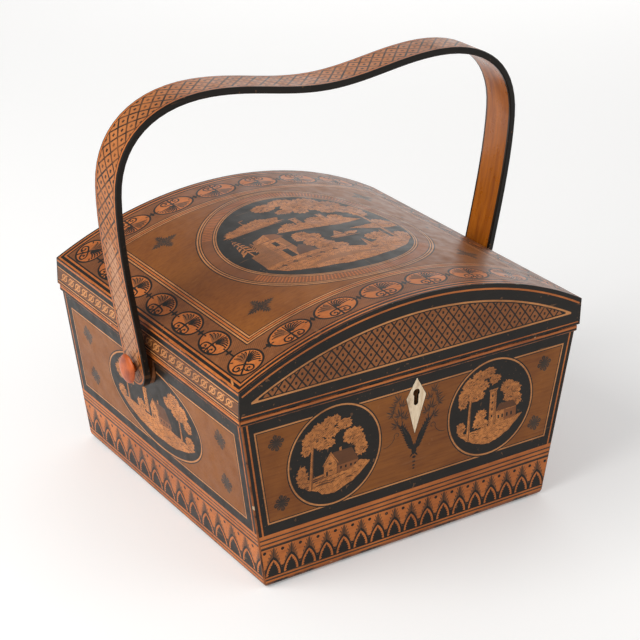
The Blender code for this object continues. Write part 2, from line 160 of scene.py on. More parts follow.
def addRange(tree, value, low, high, toLow=0.0, toHigh=1.0):
    feeds = {"Value": value, "From Min": low, "From Max": high, "To Min": toLow, "To Max": toHigh}
    return addNode(tree, "ShaderNodeMapRange", feeds, clamp=True).outputs[0]


def newGroup(name, inputs, outputs):  # an input's first value says what kind of socket it is
    group = bpy.data.node_groups.new(name, "ShaderNodeTree")
    kinds = {3: "NodeSocketVector", 4: "NodeSocketColor"}
    for label, value in inputs.items():
        kind = "NodeSocketFloat" if isinstance(value, float) else kinds[len(value)]
        group.interface.new_socket(name=label, in_out="INPUT", socket_type=kind).default_value = value
    for label, kind in outputs.items():
        group.interface.new_socket(name=label, in_out="OUTPUT", socket_type="NodeSocket" + kind)
    return group, group.nodes.new("NodeGroupInput"), group.nodes.new("NodeGroupOutput")


def useGroup(tree, group, feeds):
    return addNode(tree, "ShaderNodeGroup", feeds, node_tree=group)


def addNoise(tree, vector, scale, detail=3.0, roughness=0.55, distortion=0.0):
    feeds = {"Vector": vector, "Scale": scale, "Detail": detail, "Roughness": roughness,
             "Distortion": distortion}
    return addNode(tree, "ShaderNodeTexNoise", feeds).outputs["Fac"]


def objectPlace(tree):
    return addNode(tree, "ShaderNodeTexCoord").outputs["Object"]


def penSheet(tree):  # the drawing's own millimetres
    return addNode(tree, "ShaderNodeUVMap", uv_map="pen").outputs[0]


# Shared effects

def makeVarnishGroup():  # old varnish: broad dark patches, fine streaks of the wood below
    group, given, out = newGroup("agedVarnish", {
        "Light": (0.3, 0.15, 0.05, 1), "Dark": (0.1, 0.04, 0.01, 1), "Patch Scale": 22.0,
        "Patch Amount": 0.5, "Streak Amount": 0.35}, {"Color": "Color"})
    place = objectPlace(group)
    patch = addNoise(group, place, given.outputs["Patch Scale"], 4.0, 0.6, 0.4)
    patch = addRange(group, patch, 0.36, 0.68)
    patch = addMath(group, "MULTIPLY", patch, given.outputs["Patch Amount"])
    grainWay = addNode(group, "ShaderNodeMapping", {"Vector": place, "Scale": (60.0, 900.0, 900.0)})
    streak = addNoise(group, grainWay.outputs[0], 1.0, 3.0, 0.6)
    streak = addRange(group, streak, 0.42, 0.72)
    streak = addMath(group, "MULTIPLY", streak, given.outputs["Streak Amount"])
    both = addMath(group, "ADD", patch, streak, clamp=True)
    group.links.new(addMix(group, both, given.outputs["Light"], given.outputs["Dark"]), out.inputs["Color"])
    return group


def makeScratchGroup():  # short fine scratches in two directions, and a few rubbed spots
    group, given, out = newGroup("fineScratches", {"Amount": 0.5, "Size": 1.0}, {"Mask": "Float"})
    place = objectPlace(group)
    ways = (((0.2, 0.5, 0.7), (14.0, 420.0, 420.0), 0.1), ((1.1, 0.3, 2.1), (480.0, 16.0, 380.0), 2.0))
    masks = []
    for turn, stretch, gate in ways:
        way = addNode(group, "ShaderNodeMapping", {"Vector": place, "Rotation": turn, "Scale": stretch})
        line = addRange(group, addNoise(group, way.outputs[0], given.outputs["Size"], 1.0, 0.4, 0.6), 0.69,
                        0.74)
        moved = addNode(group, "ShaderNodeMapping", {"Vector": place, "Location": (gate, gate, 0)})
        where = addRange(group, addNoise(group, moved.outputs[0], 45.0, 2.0), 0.52, 0.62)
        masks.append(addMath(group, "MULTIPLY", line, where))
    masks.append(addRange(group, addNoise(group, place, 330.0, 2.0, 0.5), 0.70, 0.75))
    both = addMath(group, "MAXIMUM", addMath(group, "MAXIMUM", masks[0], masks[1]), masks[2])
    group.links.new(addMath(group, "MULTIPLY", both, given.outputs["Amount"], clamp=True),
                    out.inputs["Mask"])
    return group


def makeHatchGroup():  # pen hatching, in the drawing's own millimetres
    group, given, out = newGroup("penHatch", {
        "Angle": 0.8, "Spacing": 0.8, "Fill": 0.5, "Wander": 0.4}, {"Mask": "Float"})
    sheet = penSheet(group)
    turned = addNode(group, "ShaderNodeVectorRotate", {"Vector": sheet, "Angle": given.outputs["Angle"]},
                     rotation_type="Z_AXIS")
    across = addNode(group, "ShaderNodeSeparateXYZ", {"Vector": turned.outputs[0]}).outputs["X"]
    drift = addNoise(group, sheet, 0.35, 2.0)
    drift = addMath(group, "MULTIPLY", addMath(group, "SUBTRACT", drift, 0.5), given.outputs["Wander"])
    across = addMath(group, "ADD", addMath(group, "DIVIDE", across, given.outputs["Spacing"]), drift)
    wave = addMath(group, "PINGPONG", across, 0.5)
    edge = addMath(group, "MULTIPLY", given.outputs["Fill"], 0.5)
    mask = addMath(group, "SUBTRACT", edge, wave)
    mask = addMath(group, "MULTIPLY", mask, 9.0)
    group.links.new(addMath(group, "ADD", mask, 0.5, clamp=True), out.inputs["Mask"])
    return group


def makeLatticeGroup():  # a net of diamonds, each with a dot in it
    group, given, out = newGroup("penLattice", {
        "Width": 4.3, "Height": 5.6, "Line": 0.6, "Dot": 0.75}, {"Mask": "Float"})
    sheet = penSheet(group)
    parts = addNode(group, "ShaderNodeSeparateXYZ", {"Vector": sheet})
    u = addMath(group, "DIVIDE", parts.outputs["X"], given.outputs["Width"])
    v = addMath(group, "DIVIDE", parts.outputs["Y"], given.outputs["Height"])
    rising = addMath(group, "PINGPONG", addMath(group, "ADD", u, v), 0.5)
    falling = addMath(group, "PINGPONG", addMath(group, "SUBTRACT", u, v), 0.5)
    nearest = addMath(group, "MULTIPLY", addMath(group, "MINIMUM", rising, falling), given.outputs["Width"])
    line = addMath(group, "SUBTRACT", addMath(group, "MULTIPLY", given.outputs["Line"], 0.4), nearest)
    line = addMath(group, "ADD", addMath(group, "MULTIPLY", line, 8.0), 0.5, clamp=True)
    fromMiddle = addMath(group, "ADD", addMath(group, "SUBTRACT", 0.5, rising),
                         addMath(group, "SUBTRACT", 0.5, falling))
    dot = addMath(group, "SUBTRACT", given.outputs["Dot"],
                  addMath(group, "MULTIPLY", fromMiddle, given.outputs["Width"]))
    dot = addMath(group, "ADD", addMath(group, "MULTIPLY", dot, 5.0), 0.3, clamp=True)
    group.links.new(addMath(group, "MAXIMUM", line, dot), out.inputs["Mask"])
    return group


def makeGrainGroup():  # long grain of plain wood, along a chosen stretch
    group, given, out = newGroup("woodGrain", {
        "Light": (0.5, 0.3, 0.1, 1), "Dark": (0.2, 0.1, 0.04, 1), "Stretch": (20.0, 260.0, 260.0)},
        {"Color": "Color", "Height": "Float"})
    place = objectPlace(group)
    scaled = addNode(group, "ShaderNodeVectorMath", {0: place, 1: given.outputs["Stretch"]},
                     operation="MULTIPLY")
    bands = addNoise(group, scaled.outputs[0], 1.0, 4.0, 0.62, 0.5)
    pores = addNoise(group, scaled.outputs[0], 5.0, 2.0, 0.5)
    tone = addRange(group, bands, 0.34, 0.66)
    tone = addMath(group, "ADD", tone, addRange(group, pores, 0.6, 0.75, 0.0, 0.35), clamp=True)
    group.links.new(addMix(group, tone, given.outputs["Light"], given.outputs["Dark"]), out.inputs["Color"])
    group.links.new(addMath(group, "SUBTRACT", 1.0, tone), out.inputs["Height"])
    return group


varnishGroup = makeVarnishGroup()
scratchGroup = makeScratchGroup()
hatchGroup = makeHatchGroup()
latticeGroup = makeLatticeGroup()
grainGroup = makeGrainGroup()


def startMaterial(name):
    material = bpy.data.materials.new(name)
    material.use_nodes = True
    tree = material.node_tree
    return material, tree, tree.nodes["Principled BSDF"]


def finishSurface(tree, shader, s, height=None):  # gloss, and a faint unevenness of the varnish
    place = objectPlace(tree)
    dull = addRange(tree, addNoise(tree, place, 140.0, 3.0), 0.3, 0.7, s["roughLow"], s["roughHigh"])
    tree.links.new(dull, shader.inputs["Roughness"])
    waves = addNoise(tree, place, 260.0, 2.0)
    if height is not None:
        waves = addMath(tree, "ADD", waves, height)
    bump = addNode(tree, "ShaderNodeBump", {"Height": waves, "Strength": s["bump"], "Distance": 0.0002})
    tree.links.new(bump.outputs[0], shader.inputs["Normal"])
    shader.inputs["Coat Weight"].default_value = s["coat"]
    shader.inputs["Coat Roughness"].default_value = s["coatRough"]
    shader.inputs["Specular IOR Level"].default_value = s.get("specular", 0.5)


# Painted finishes

def tones(light, dark):
    return {"Light": paint(*light), "Dark": paint(*dark)}


penSettings = {
    "gloss": {"roughLow": 0.32, "roughHigh": 0.48, "bump": 0.08, "coat": 0.03, "coatRough": 0.2,
              "specular": 0.2},
    "scratch": paint(150, 104, 66), "rubbedAndSheen": paint(142, 78, 34), "chip": paint(196, 168, 136),
    "black": tones((30, 24, 18), (12, 9, 7)),
    "ground": tones((140, 82, 26), (108, 56, 14)),
    "tan": tones((198, 114, 52), (146, 76, 30)),
    "pale": tones((206, 140, 84), (156, 98, 52)),
    "figure": tones((210, 134, 70), (146, 86, 40)),
    "roof": tones((140, 84, 44), (100, 56, 28)),
    "umber": tones((104, 62, 32), (72, 42, 22)),
    "faded": tones((74, 56, 42), (36, 26, 20)),
    "net": tones((152, 92, 48), (112, 62, 28)),
    "handleNet": tones((184, 112, 58), (136, 76, 34)),
    # painted sheen: the pale whitish colour of the handle's left leg
    "legs": tones((188, 136, 98), (148, 94, 58)),
}


def finishPaint(name, colours, scratch, patch, streak, ink=None, inkColour=penSettings["black"]["Light"]):
    material, tree, shader = startMaterial(name)
    feeds = {**penSettings[colours], "Patch Amount": patch, "Streak Amount": streak}
    colour = useGroup(tree, varnishGroup, feeds).outputs["Color"]
    if ink:
        colour = addMix(tree, ink(tree), colour, inkColour)
    scratches = useGroup(tree, scratchGroup, {"Amount": scratch}).outputs["Mask"]
    colour = addMix(tree, scratches, colour, penSettings["scratch"])
    tree.links.new(colour, shader.inputs["Base Color"])
    finishSurface(tree, shader, penSettings["gloss"])
    return material


def hatched(angle, spacing, fill, wander=0.4, breaks=0.0):
    def build(tree):
        feeds = {"Angle": angle, "Spacing": spacing, "Fill": fill, "Wander": wander}
        mask = useGroup(tree, hatchGroup, feeds).outputs["Mask"]
        if breaks:
            where = addRange(tree, addNoise(tree, penSheet(tree), breaks, 2.0), 0.42, 0.56)
            mask = addMath(tree, "MULTIPLY", mask, where)
        return mask
    return build


def latticed(width, height, line, dot, rubbedAndSheen=0.0):
    def build(tree):
        feeds = {"Width": width, "Height": height, "Line": line, "Dot": dot}
        mask = useGroup(tree, latticeGroup, feeds).outputs["Mask"]
        # the net's lines fade at random; on the handle's left leg this is part of its painted sheen
        if rubbedAndSheen:
            left = addRange(tree, addNoise(tree, penSheet(tree), rubbedAndSheen, 4.0, 0.6), 0.38, 0.6, 0.62, 1.0)
            mask = addMath(tree, "MULTIPLY", mask, left)
        return mask
    return build


def makeWornEdge():  # the black along the edges, rubbed through to the wood
    material, tree, shader = startMaterial("wornEdge")
    place = objectPlace(tree)
    base = useGroup(tree, varnishGroup, penSettings["black"]).outputs["Color"]
    rub = addRange(tree, addNoise(tree, place, 60.0, 5.0, 0.7), 0.42, 0.54)
    colour = addMix(tree, addMath(tree, "MULTIPLY", rub, 0.9), base, penSettings["rubbedAndSheen"])
    chips = addRange(tree, addNoise(tree, place, 190.0, 3.0, 0.6), 0.66, 0.7)
    colour = addMix(tree, chips, colour, penSettings["chip"])
    tree.links.new(colour, shader.inputs["Base Color"])
    finishSurface(tree, shader, penSettings["gloss"])
    return material


woodSettings = {
    "matte": {"roughLow": 0.55, "roughHigh": 0.75, "bump": 0.25, "coat": 0.0, "coatRough": 0.3},
    "satin": {"roughLow": 0.3, "roughHigh": 0.42, "bump": 0.1, "coat": 0.12, "coatRough": 0.16,
              "specular": 0.3},
    "polish": {"roughLow": 0.24, "roughHigh": 0.38, "bump": 0.12, "coat": 0.35, "coatRough": 0.12},
    "borderAt": 0.0094, "borderFade": 0.0003,
    "inside": (tones((168, 120, 72), (118, 76, 40)), (18.0, 18.0, 300.0)),
    "under": (tones((126, 88, 52), (78, 50, 28)), (14.0, 280.0, 280.0)),
    "honey": (tones((184, 104, 20), (142, 72, 8)), (60.0, 300.0, 24.0)),
    "peg": (tones((190, 88, 24), (134, 54, 12)), (300.0, 90.0, 90.0)),
    "pad": (tones((146, 88, 44), (86, 46, 20)), (60.0, 500.0, 120.0)),
}


def makePlainWood(name, wood, gloss, bordered=False):
    s = woodSettings
    material, tree, shader = startMaterial(name)
    colours, stretch = s[wood]
    grain = useGroup(tree, grainGroup, {**colours, "Stretch": stretch})
    colour = grain.outputs["Color"]
    if bordered:  # a black edge painted along both sides of the strip
        side = addNode(tree, "ShaderNodeSeparateXYZ", {"Vector": objectPlace(tree)}).outputs["Y"]
        side = addMath(tree, "ABSOLUTE", side)
        edge = addRange(tree, side, s["borderAt"], s["borderAt"] + s["borderFade"])
        colour = addMix(tree, edge, colour, penSettings["black"]["Light"])
    tree.links.new(colour, shader.inputs["Base Color"])
    finishSurface(tree, shader, s[gloss], grain.outputs["Height"])
    return material


umber, brown = penSettings["umber"], penSettings["roof"]
finishes = {
    "ground": finishPaint("honeyVarnish", "ground", 0.22, 0.7, 0.45),
    "black": finishPaint("blackPenwork", "black", 0.35, 0.5, 0.3),
    "tan": finishPaint("tanVarnish", "tan", 0.2, 0.7, 0.5),
    "pale": finishPaint("paleLine", "pale", 0.2, 0.8, 0.5),
    "hatch": finishPaint("hatchedBorder", "roof", 0.2, 0.7, 0.5, hatched(0.85, 1.1, 0.3, 0.4, 0.06),
                         umber["Light"]),
    "figure": finishPaint("penFigure", "figure", 0.15, 0.8, 0.3, hatched(1.1, 0.85, 0.42, 1.8, 0.45),
                          umber["Light"]),
    "shade": finishPaint("penShading", "figure", 0.15, 0.7, 0.3, hatched(2.2, 0.62, 0.5, 0.8),
                         umber["Dark"]),
    "roof": finishPaint("penBrown", "roof", 0.15, 0.6, 0.3),
    "umber": finishPaint("penUmber", "umber", 0.15, 0.6, 0.3),
    "faded": finishPaint("fadedInk", "faded", 0.15, 0.9, 0.4),
    "lattice": finishPaint("penLatticePanel", "net", 0.2, 0.6, 0.3, latticed(6.9, 8.5, 1.42, 1.3)),
    "net": finishPaint("penHandleNet", "handleNet", 0.2, 0.6, 0.3, latticed(8.4, 8.4, 1.9, 1.7, 0.12)),
    # painted sheen: the paler, fainter net of the handle's left leg
    "legs": finishPaint("sheenHandleNet", "legs", 0.4, 0.8, 0.5, latticed(8.4, 8.4, 1.3, 1.2, 0.3),
                        brown["Dark"]),
    "edge": makeWornEdge(),
    "inside": makePlainWood("plainInside", "inside", "matte"),
    "under": makePlainWood("bareUnderside", "under", "matte"),
    "honey": makePlainWood("polishedHoney", "honey", "polish", True),
}
print("finishes made:", len(finishes))


# Drawing with a pen: every shape is a closed outline in millimetres and the ink that fills it

def ellipseOf(x, y, wide, high, steps=40, start=0.0):
    angles = np.linspace(0, 2 * math.pi, steps, endpoint=False) + start
    return np.stack([x + wide * np.cos(angles), y + high * np.sin(angles)], 1)


def ringOf(x, y, wide, high, width, steps=64):
    outer = ellipseOf(x, y, wide, high, steps)
    inner = ellipseOf(x, y, wide - width, high - width, steps)[::-1]
    return np.vstack([outer, outer[:1], inner[-1:], inner])


def boxOf(x0, y0, x1, y1):
    return np.array([(x0, y0), (x1, y0), (x1, y1), (x0, y1)], float)


def strokeOf(path, start, middle=None, end=None):
    path = np.array(path, float)
    middle = start if middle is None else middle
    end = start if end is None else end
    steps = np.gradient(path, axis=0)
    steps /= np.hypot(steps[:, 0], steps[:, 1])[:, None] + 1e-9
    side = np.stack([-steps[:, 1], steps[:, 0]], 1)
    half = np.interp(np.linspace(0, 1, len(path)), [0, 0.5, 1], [start, middle, end])[:, None] / 2
    return np.vstack([path - side * half, (path + side * half)[::-1]])


def bendOf(a, b, c, d, steps=9):
    t = np.linspace(0, 1, steps)[:, None]
    a, b, c, d = (np.array(p, float) for p in (a, b, c, d))
    return a * (1 - t) ** 3 + 3 * b * t * (1 - t) ** 2 + 3 * c * t * t * (1 - t) + d * t ** 3


def spiralOf(x, y, start, radius, turns, steps=16, tight=0.12):
    t = np.linspace(0, 1, steps)
    angle = start + turns * 2 * math.pi * t
    reach = radius * (1 - (1 - tight) * t)
    return np.stack([x + reach * np.cos(angle), y + reach * np.sin(angle)], 1)


def leafOf(x, y, angle, length, width, bend=0.0, steps=7):
    t = np.linspace(0, 1, steps)
    line = np.stack([length * t, bend * length * t * (1 - t) * 2], 1)
    half = width / 2 * np.sin(math.pi * t ** 0.85)[:, None]
    up = np.array([[0.0, 1.0]])
    points = np.vstack([line - up * half, (line + up * half)[::-1][1:-1]])
    return placed(points, x, y, angle)


def placed(points, x=0.0, y=0.0, angle=0.0, size=1.0, flip=False):
    points = np.array(points, float) * size
    if flip:
        points = points * np.array([[-1.0, 1.0]])
    cos, sin = math.cos(angle), math.sin(angle)
    turned = np.stack([points[:, 0] * cos - points[:, 1] * sin, points[:, 0] * sin + points[:, 1] * cos], 1)
    return turned + np.array([[x, y]])


def stamp(sheet, motif, x, y, angle=0.0, size=1.0, flip=False):
    for points, ink in motif:
        sheet.append((placed(points, x, y, angle, size, flip), ink))


def clipTo(points, window):  # keeps the part inside a rounded outline that has no hollows
    out = [tuple(p) for p in points]
    for i in range(len(window)):
        ax, ay = window[i]
        bx, by = window[(i + 1) % len(window)]
        kept = []
        for j in range(len(out)):
            px, py = out[j - 1]
            qx, qy = out[j]
            sideP = (bx - ax) * (py - ay) - (by - ay) * (px - ax)
            sideQ = (bx - ax) * (qy - ay) - (by - ay) * (qx - ax)
            if (sideP >= 0) != (sideQ >= 0):
                t = sideP / (sideP - sideQ)
                kept.append((px + (qx - px) * t, py + (qy - py) * t))
            if sideQ >= 0:
                kept.append((qx, qy))
        out = kept
        if len(out) < 3:
            return None
    return np.array(out)


def stampInside(sheet, motif, window, x, y, size=1.0, flip=False):
    for points, ink in motif:
        cut = clipTo(placed(points, x, y, 0.0, size, flip), window)
        if cut is not None:
            sheet.append((cut, ink))


def blobOf(x, y, wide, high, lobes, dice, depth=0.16):
    count = lobes * 4
    angles = np.linspace(0, 2 * math.pi, count, endpoint=False) + dice.uniform(0, 6)
    wave = 1 + depth * np.abs(np.sin(angles * lobes / 2)) * dice.uniform(0.7, 1.2) - depth * 0.5
    jitter = np.array([1 + dice.uniform(-0.06, 0.06) for i in range(count)])
    reach = wave * jitter
    return np.stack([x + wide * reach * np.cos(angles), y + high * reach * np.sin(angles)], 1)


def clumpOf(x, y, wide, high, dice, marks=7):  # leafy clump, pen ticks on its lower side
    size = min(wide, high)
    motif = [(blobOf(x, y, wide, high, int(6 + wide), dice, 0.22), "figure")]
    for i in range(int(3 + wide)):  # small leaves standing out from the edge
        angle = dice.uniform(0, 2 * math.pi)
        px, py = x + wide * 0.93 * math.cos(angle), y + high * 0.93 * math.sin(angle)
        motif.append((leafOf(px, py, angle + dice.uniform(-0.5, 0.5), 1.3, 0.7, 0, 5), "figure"))
    motif.append((leafOf(x - wide * 0.35, y - high * 0.42, dice.uniform(0.0, 0.35), wide * 1.05,
                         high * 0.34, 0.4), "shade"))
    for i in range(marks):
        px, py = x + dice.uniform(-0.65, 0.65) * wide, y + dice.uniform(-0.6, 0.45) * high
        motif.append((leafOf(px, py, dice.uniform(-0.4, 1.0), size * 0.34 + 0.3, size * 0.07 + 0.16, 0.5,
                             5), "umber"))
    for i in range(2):
        angle = dice.uniform(-2.4, -0.4)
        px, py = x + wide * 0.62 * math.cos(angle), y + high * 0.62 * math.sin(angle)
        motif.append((leafOf(px, py, dice.uniform(0.0, 1.0), size * 0.3 + 0.3, size * 0.1 + 0.15, 0.5, 5),
                      "black"))
    return motif


def crownOf(seed, clumps, marks=7):
    dice = random.Random(seed)
    motif = []
    for x, y, wide, high in clumps:
        motif += clumpOf(x, y, wide, high, dice, marks)
    return motif


def trunkOf(path, wide):
    line = bendOf(*path, 10)
    return [(strokeOf(line, wide * 1.35, wide, wide * 0.75), "figure"),
            (strokeOf(line + np.array([[wide * 0.3, 0]]), wide * 0.5, wide * 0.28, 0.12), "umber")]


def landMotif(seed, top, bottom, marks=14):  # ground between two rough lines, with grass and path strokes
    dice = random.Random(seed)
    rough = []
    for line in (bottom, top[::-1]):
        line = np.array(line, float)
        steps = np.linspace(0, len(line) - 1, len(line) * 4)
        xs = np.interp(steps, range(len(line)), line[:, 0])
        ys = np.interp(steps, range(len(line)), line[:, 1])
        rough.append(np.stack([xs, ys + np.array([dice.uniform(-0.28, 0.28) for x in xs])], 1))
    motif = [(np.vstack(rough), "figure")]
    top, bottom = np.array(top, float), np.array(bottom, float)
    x0, x1 = top[0, 0], top[-1, 0]
    for i in range(marks):
        x = dice.uniform(x0 + 2.5, x1 - 4)
        high = np.interp(x, top[:, 0], top[:, 1])
        low = np.interp(x, bottom[:, 0], bottom[:, 1])
        y = low + (high - low) * dice.uniform(0.2, 0.85)
        length = dice.uniform(2.0, 5.5)
        ink = "shade" if dice.random() < 0.45 else "umber"
        motif.append((leafOf(x - length / 2, y, dice.uniform(-0.15, 0.1), length, dice.uniform(0.3, 0.75),
                             0.15), ink))
    return motif


def cottageMotif():  # gable at the left, a long roof behind it; base at 0, 0
    motif = [
        (np.array([(-6.6, 0.0), (1.5, 0.0), (1.5, 6.9), (-2.6, 12.9), (-6.6, 6.9)]), "figure"),
        (np.array([(1.5, 0.2), (14.6, 0.8), (14.6, 4.9), (1.5, 4.5)]), "roof"),
        (np.array([(1.9, 4.6), (14.9, 4.9), (10.4, 12.9), (-1.6, 12.9)]), "umber"),
        (strokeOf([(-7.3, 6.3), (-2.6, 13.4), (2.2, 6.2)], 0.55), "figure"),
        (strokeOf([(-6.4, 6.6), (-2.6, 12.3), (1.4, 6.5)], 0.3), "umber"),
        (boxOf(2.6, 12.8, 4.0, 15.0), "figure"),
        (boxOf(-3.8, 6.2, -1.9, 7.5), "umber"), (boxOf(-3.2, 2.2, -1.2, 3.2), "umber"),
        (boxOf(-5.2, 0.2, -4.1, 2.6), "black"), (strokeOf([(1.5, 0), (1.5, 6.4)], 0.35), "umber"),
    ]
    for x in (3.4, 6.4, 9.6, 12.3):
        motif.append((boxOf(x, 2.0, x + 1.1, 3.5), "black"))
    return motif


def towerMotif(wide, high, windows=3):
    half = wide / 2
    motif = [
        (boxOf(-half, 0, half, high), "figure"),
        (boxOf(half * 0.3, 0, half, high), "shade"),
        (boxOf(-half * 1.25, high, half * 1.25, high + wide * 0.22), "figure"),
        (strokeOf([(-half * 1.2, high), (half * 1.2, high)], 0.3), "umber"),
    ]
    for i in range(windows):
        y = high * (0.22 + 0.6 * i / max(windows - 1, 1))
        motif.append((boxOf(-wide * 0.2, y, wide * 0.02, y + wide * 0.3), "black"))
    return motif


def pineMotif(seed, height):
    dice = random.Random(seed)
    motif = [(strokeOf([(0, 0), (0.2, height * 0.6), (0, height)], 0.9, 0.6, 0.2), "figure")]
    for i in range(6):
        y = height * (0.22 + 0.13 * i)
        reach = height * 0.24 * (1 - i / 7.5)
        for side in (-1, 1):
            angle = math.pi / 2 + side * (2.25 + dice.uniform(-0.15, 0.15))
            motif.append((leafOf(0, y + reach * 0.5, angle, reach, reach * 0.3, side * -0.25, 6), "figure"))
    return motif


def leafCluster(size, ink="umber"):  # an open leaf: seven narrow blades from one stalk, pointing to +x
    motif = [(leafOf(0, 0, 0, size * 1.1, size * 0.2), "faded")]
    for side in (-1, 1):
        motif.append((leafOf(0, 0, side * 0.5, size * 1.0, size * 0.19, side * 0.1), ink))
        motif.append((leafOf(0, 0, side * 1.05, size * 0.8, size * 0.18, side * 0.1), "faded"))
        motif.append((leafOf(0, 0, side * 1.7, size * 0.6, size * 0.16, side * 0.1), ink))
    return motif


def starMotif():  # flower of eight narrow petals, about 10 across
    motif = []
    for i in range(8):
        angle = i * math.pi / 4 + 0.2
        cos, sin = math.cos(angle), math.sin(angle)
        petal = np.array([(0.5, -0.3), (2.4, -0.9), (4.1, -1.35), (5.0, 0), (4.1, 1.35), (2.4, 0.9),
                          (0.5, 0.3)])
        motif.append((placed(petal * (1.0 if i % 2 == 0 else 0.88), 0, 0, angle), "faded"))
        motif.append((strokeOf([(2.6 * cos, 2.6 * sin), (4.2 * cos, 4.2 * sin)], 0.22), "ground"))
    motif.append((ellipseOf(0, 0, 1.3, 1.3, 10), "faded"))
    return motif


def sprigMotif():  # four deeply lobed leaves in a cross, about 19 across
    motif = []
    for i in range(4):
        angle = i * math.pi / 2 + 0.12
        cos, sin = math.cos(angle), math.sin(angle)
        long = 9.4 if i % 2 == 0 else 8.0
        motif.append((leafOf(0, 0, angle, long, 2.0), "faded"))
        for reach, size, lean in ((1.6, 3.6, 1.0), (3.1, 3.6, 0.85), (4.7, 2.9, 0.75), (6.2, 2.0, 0.6)):
            for side in (-1, 1):
                x, y = reach * cos, reach * sin
                motif.append((leafOf(x, y, angle + side * lean, size, size * 0.36, side * -0.12, 6),
                              "faded"))
        motif.append((leafOf(0, 0, angle + math.pi / 4, 3.6, 0.9), "faded"))
        motif.append((strokeOf([(2.0 * cos, 2.0 * sin), (5.6 * cos, 5.6 * sin)], 0.2), "ground"))
    return motif


def roundelMotif(a=12.5, b=8.75):  # palmette in an oval, its fan upwards, two scrolls at its foot
    motif = [(ellipseOf(0, 0, a, b, 44), "black"), (ellipseOf(0, 0, a - 1.2, b - 1.2, 44), "tan")]
    reachX, reachY = (a - 1.3) * 0.86, (b - 1.2) * 0.9
    shaded = [(-0.3, -1.2)]
    for k in range(13):
        angle = math.radians(100 + k * 5.2)
        bulge = 0.86 + 0.09 * abs(math.sin(k * math.pi / 4))
        shaded.append((reachX * bulge * math.cos(angle), reachY * bulge * math.sin(angle)))
    motif.append((np.array(shaded), "roof"))
    for degrees in (108, 123, 140, 158):
        angle = math.radians(degrees)
        tip = (reachX * 0.98 * math.cos(angle), reachY * 0.98 * math.sin(angle))
        path = bendOf((tip[0] * 0.3, tip[1] * 0.35), (tip[0] * 0.5, tip[1] * 0.8),
                      (tip[0] * 0.8, tip[1] * 1.05), tip, 6)
        motif.append((strokeOf(path, 0.25, 0.62, 0.4), "black"))
        motif.append((ellipseOf(tip[0], tip[1], 0.55, 0.48, 8), "black"))
    for degrees in (12, 25, 38, 51, 64, 77):
        angle = math.radians(degrees)
        tip = (reachX * math.cos(angle), reachY * math.sin(angle))
        root = (tip[0] * 0.16 + 0.3, tip[1] * 0.1 - 0.6)
        path = bendOf(root, (tip[0] * 0.4, tip[1] * 0.75 + 0.4), (tip[0] * 0.75, tip[1] * 1.02 + 0.3), tip,
                      7)
        motif.append((strokeOf(path, 0.4, 1.0, 0.6), "black"))
        motif.append((ellipseOf(tip[0], tip[1], 0.62, 0.55, 8), "black"))
    motif.append((strokeOf([(0, -b + 0.9), (0, -1.0), (0, b - 1.6)], 1.15, 1.15, 0.6), "black"))
    for side in (-1, 1):
        lead = bendOf((0, -1.6), (side * 2.2, -2.0), (side * 4.8, -1.6), (side * 5.5, -3.4), 8)
        curl = spiralOf(side * 3.5, -4.5, 0.45 if side > 0 else math.pi - 0.45, 2.35, side * -0.82, 14,
                        0.42)
        motif.append((strokeOf(np.vstack([lead[:-1], curl[1:]]), 1.0, 1.0, 0.6), "black"))
        motif.append((ellipseOf(side * 3.3, -4.1, 0.62, 0.58, 8), "black"))
        tail = bendOf((side * 3.9, -6.9), (side * 2.4, -6.6), (side * 1.0, -6.0), (side * 0.4, -4.4), 7)
        motif.append((strokeOf(tail, 0.35, 0.8, 0.5), "black"))
        motif.append((ellipseOf(side * (a - 2.2), 0.1, 1.0, 0.5, 8), "black"))
    motif.append((ellipseOf(0, -1.7, 1.3, 0.8, 12), "black"))
    return motif


def friezeUnit(pitch, height):  # pointed arch with a toothed leaf, a plume over it; base at 0
    w = pitch / 2 - 0.1
    arch = height * 0.655

    def lancet(half, top, teeth=0.0, steps=9):
        t = np.linspace(0, 1, steps)
        side = half * (1 - t ** 1.9) ** 0.8
        if teeth:
            side[1:-1:2] -= teeth
        right = np.stack([side, top * t], 1)
        return np.vstack([right, (right * np.array([[-1.0, 1.0]]))[::-1][1:]])
    motif = [(boxOf(-pitch / 2, 0, pitch / 2, arch * 0.42), "black")]
    for wide, top, ink in ((1.0, 1.0, "roof"), (0.74, 0.96, "umber")):  # feathered plume up to the line
        t = np.linspace(0, 1, 19)
        side = (w + 0.1) * wide * (1 - t) ** 0.8
        side[1:-1:2] -= 0.55 * wide
        rise = arch * 0.3 + (height * top - arch * 0.3) * t
        rise[2:-1:2] += 0.35
        right = np.stack([np.maximum(side, 0.12), rise], 1)
        motif.append((np.vstack([right, (right * np.array([[-1.0, 1.0]]))[::-1]]), ink))
    for reach in (0.5, 0.62, 0.74, 0.86):  # pen ticks along the plume
        for side in (-1, 1):
            x = side * w * 0.82 * (1 - (reach * height - arch * 0.3) / (height - arch * 0.3)) ** 0.8
            motif.append((leafOf(x, reach * height - 0.5, math.pi / 2 - side * 0.45, 1.9, 0.55, 0, 4),
                          "faded"))
    motif.append((strokeOf([(0, arch * 0.9), (0, height)], 0.8, 0.5, 0.3), "faded"))
    motif.append((lancet(w, arch), "black"))
    motif.append((lancet(w - 0.95, arch - 1.75), "tan"))
    motif.append((lancet(w - 1.75, arch - 3.3, 0.75, 12), "black"))
    motif.append((leafOf(0, arch - 4.6, math.pi / 2, 1.9, 0.6, 0, 5), "black"))
    motif.append((ellipseOf(pitch / 2, height * 0.86, 1.05, 0.95, 10), "black"))
    return motif


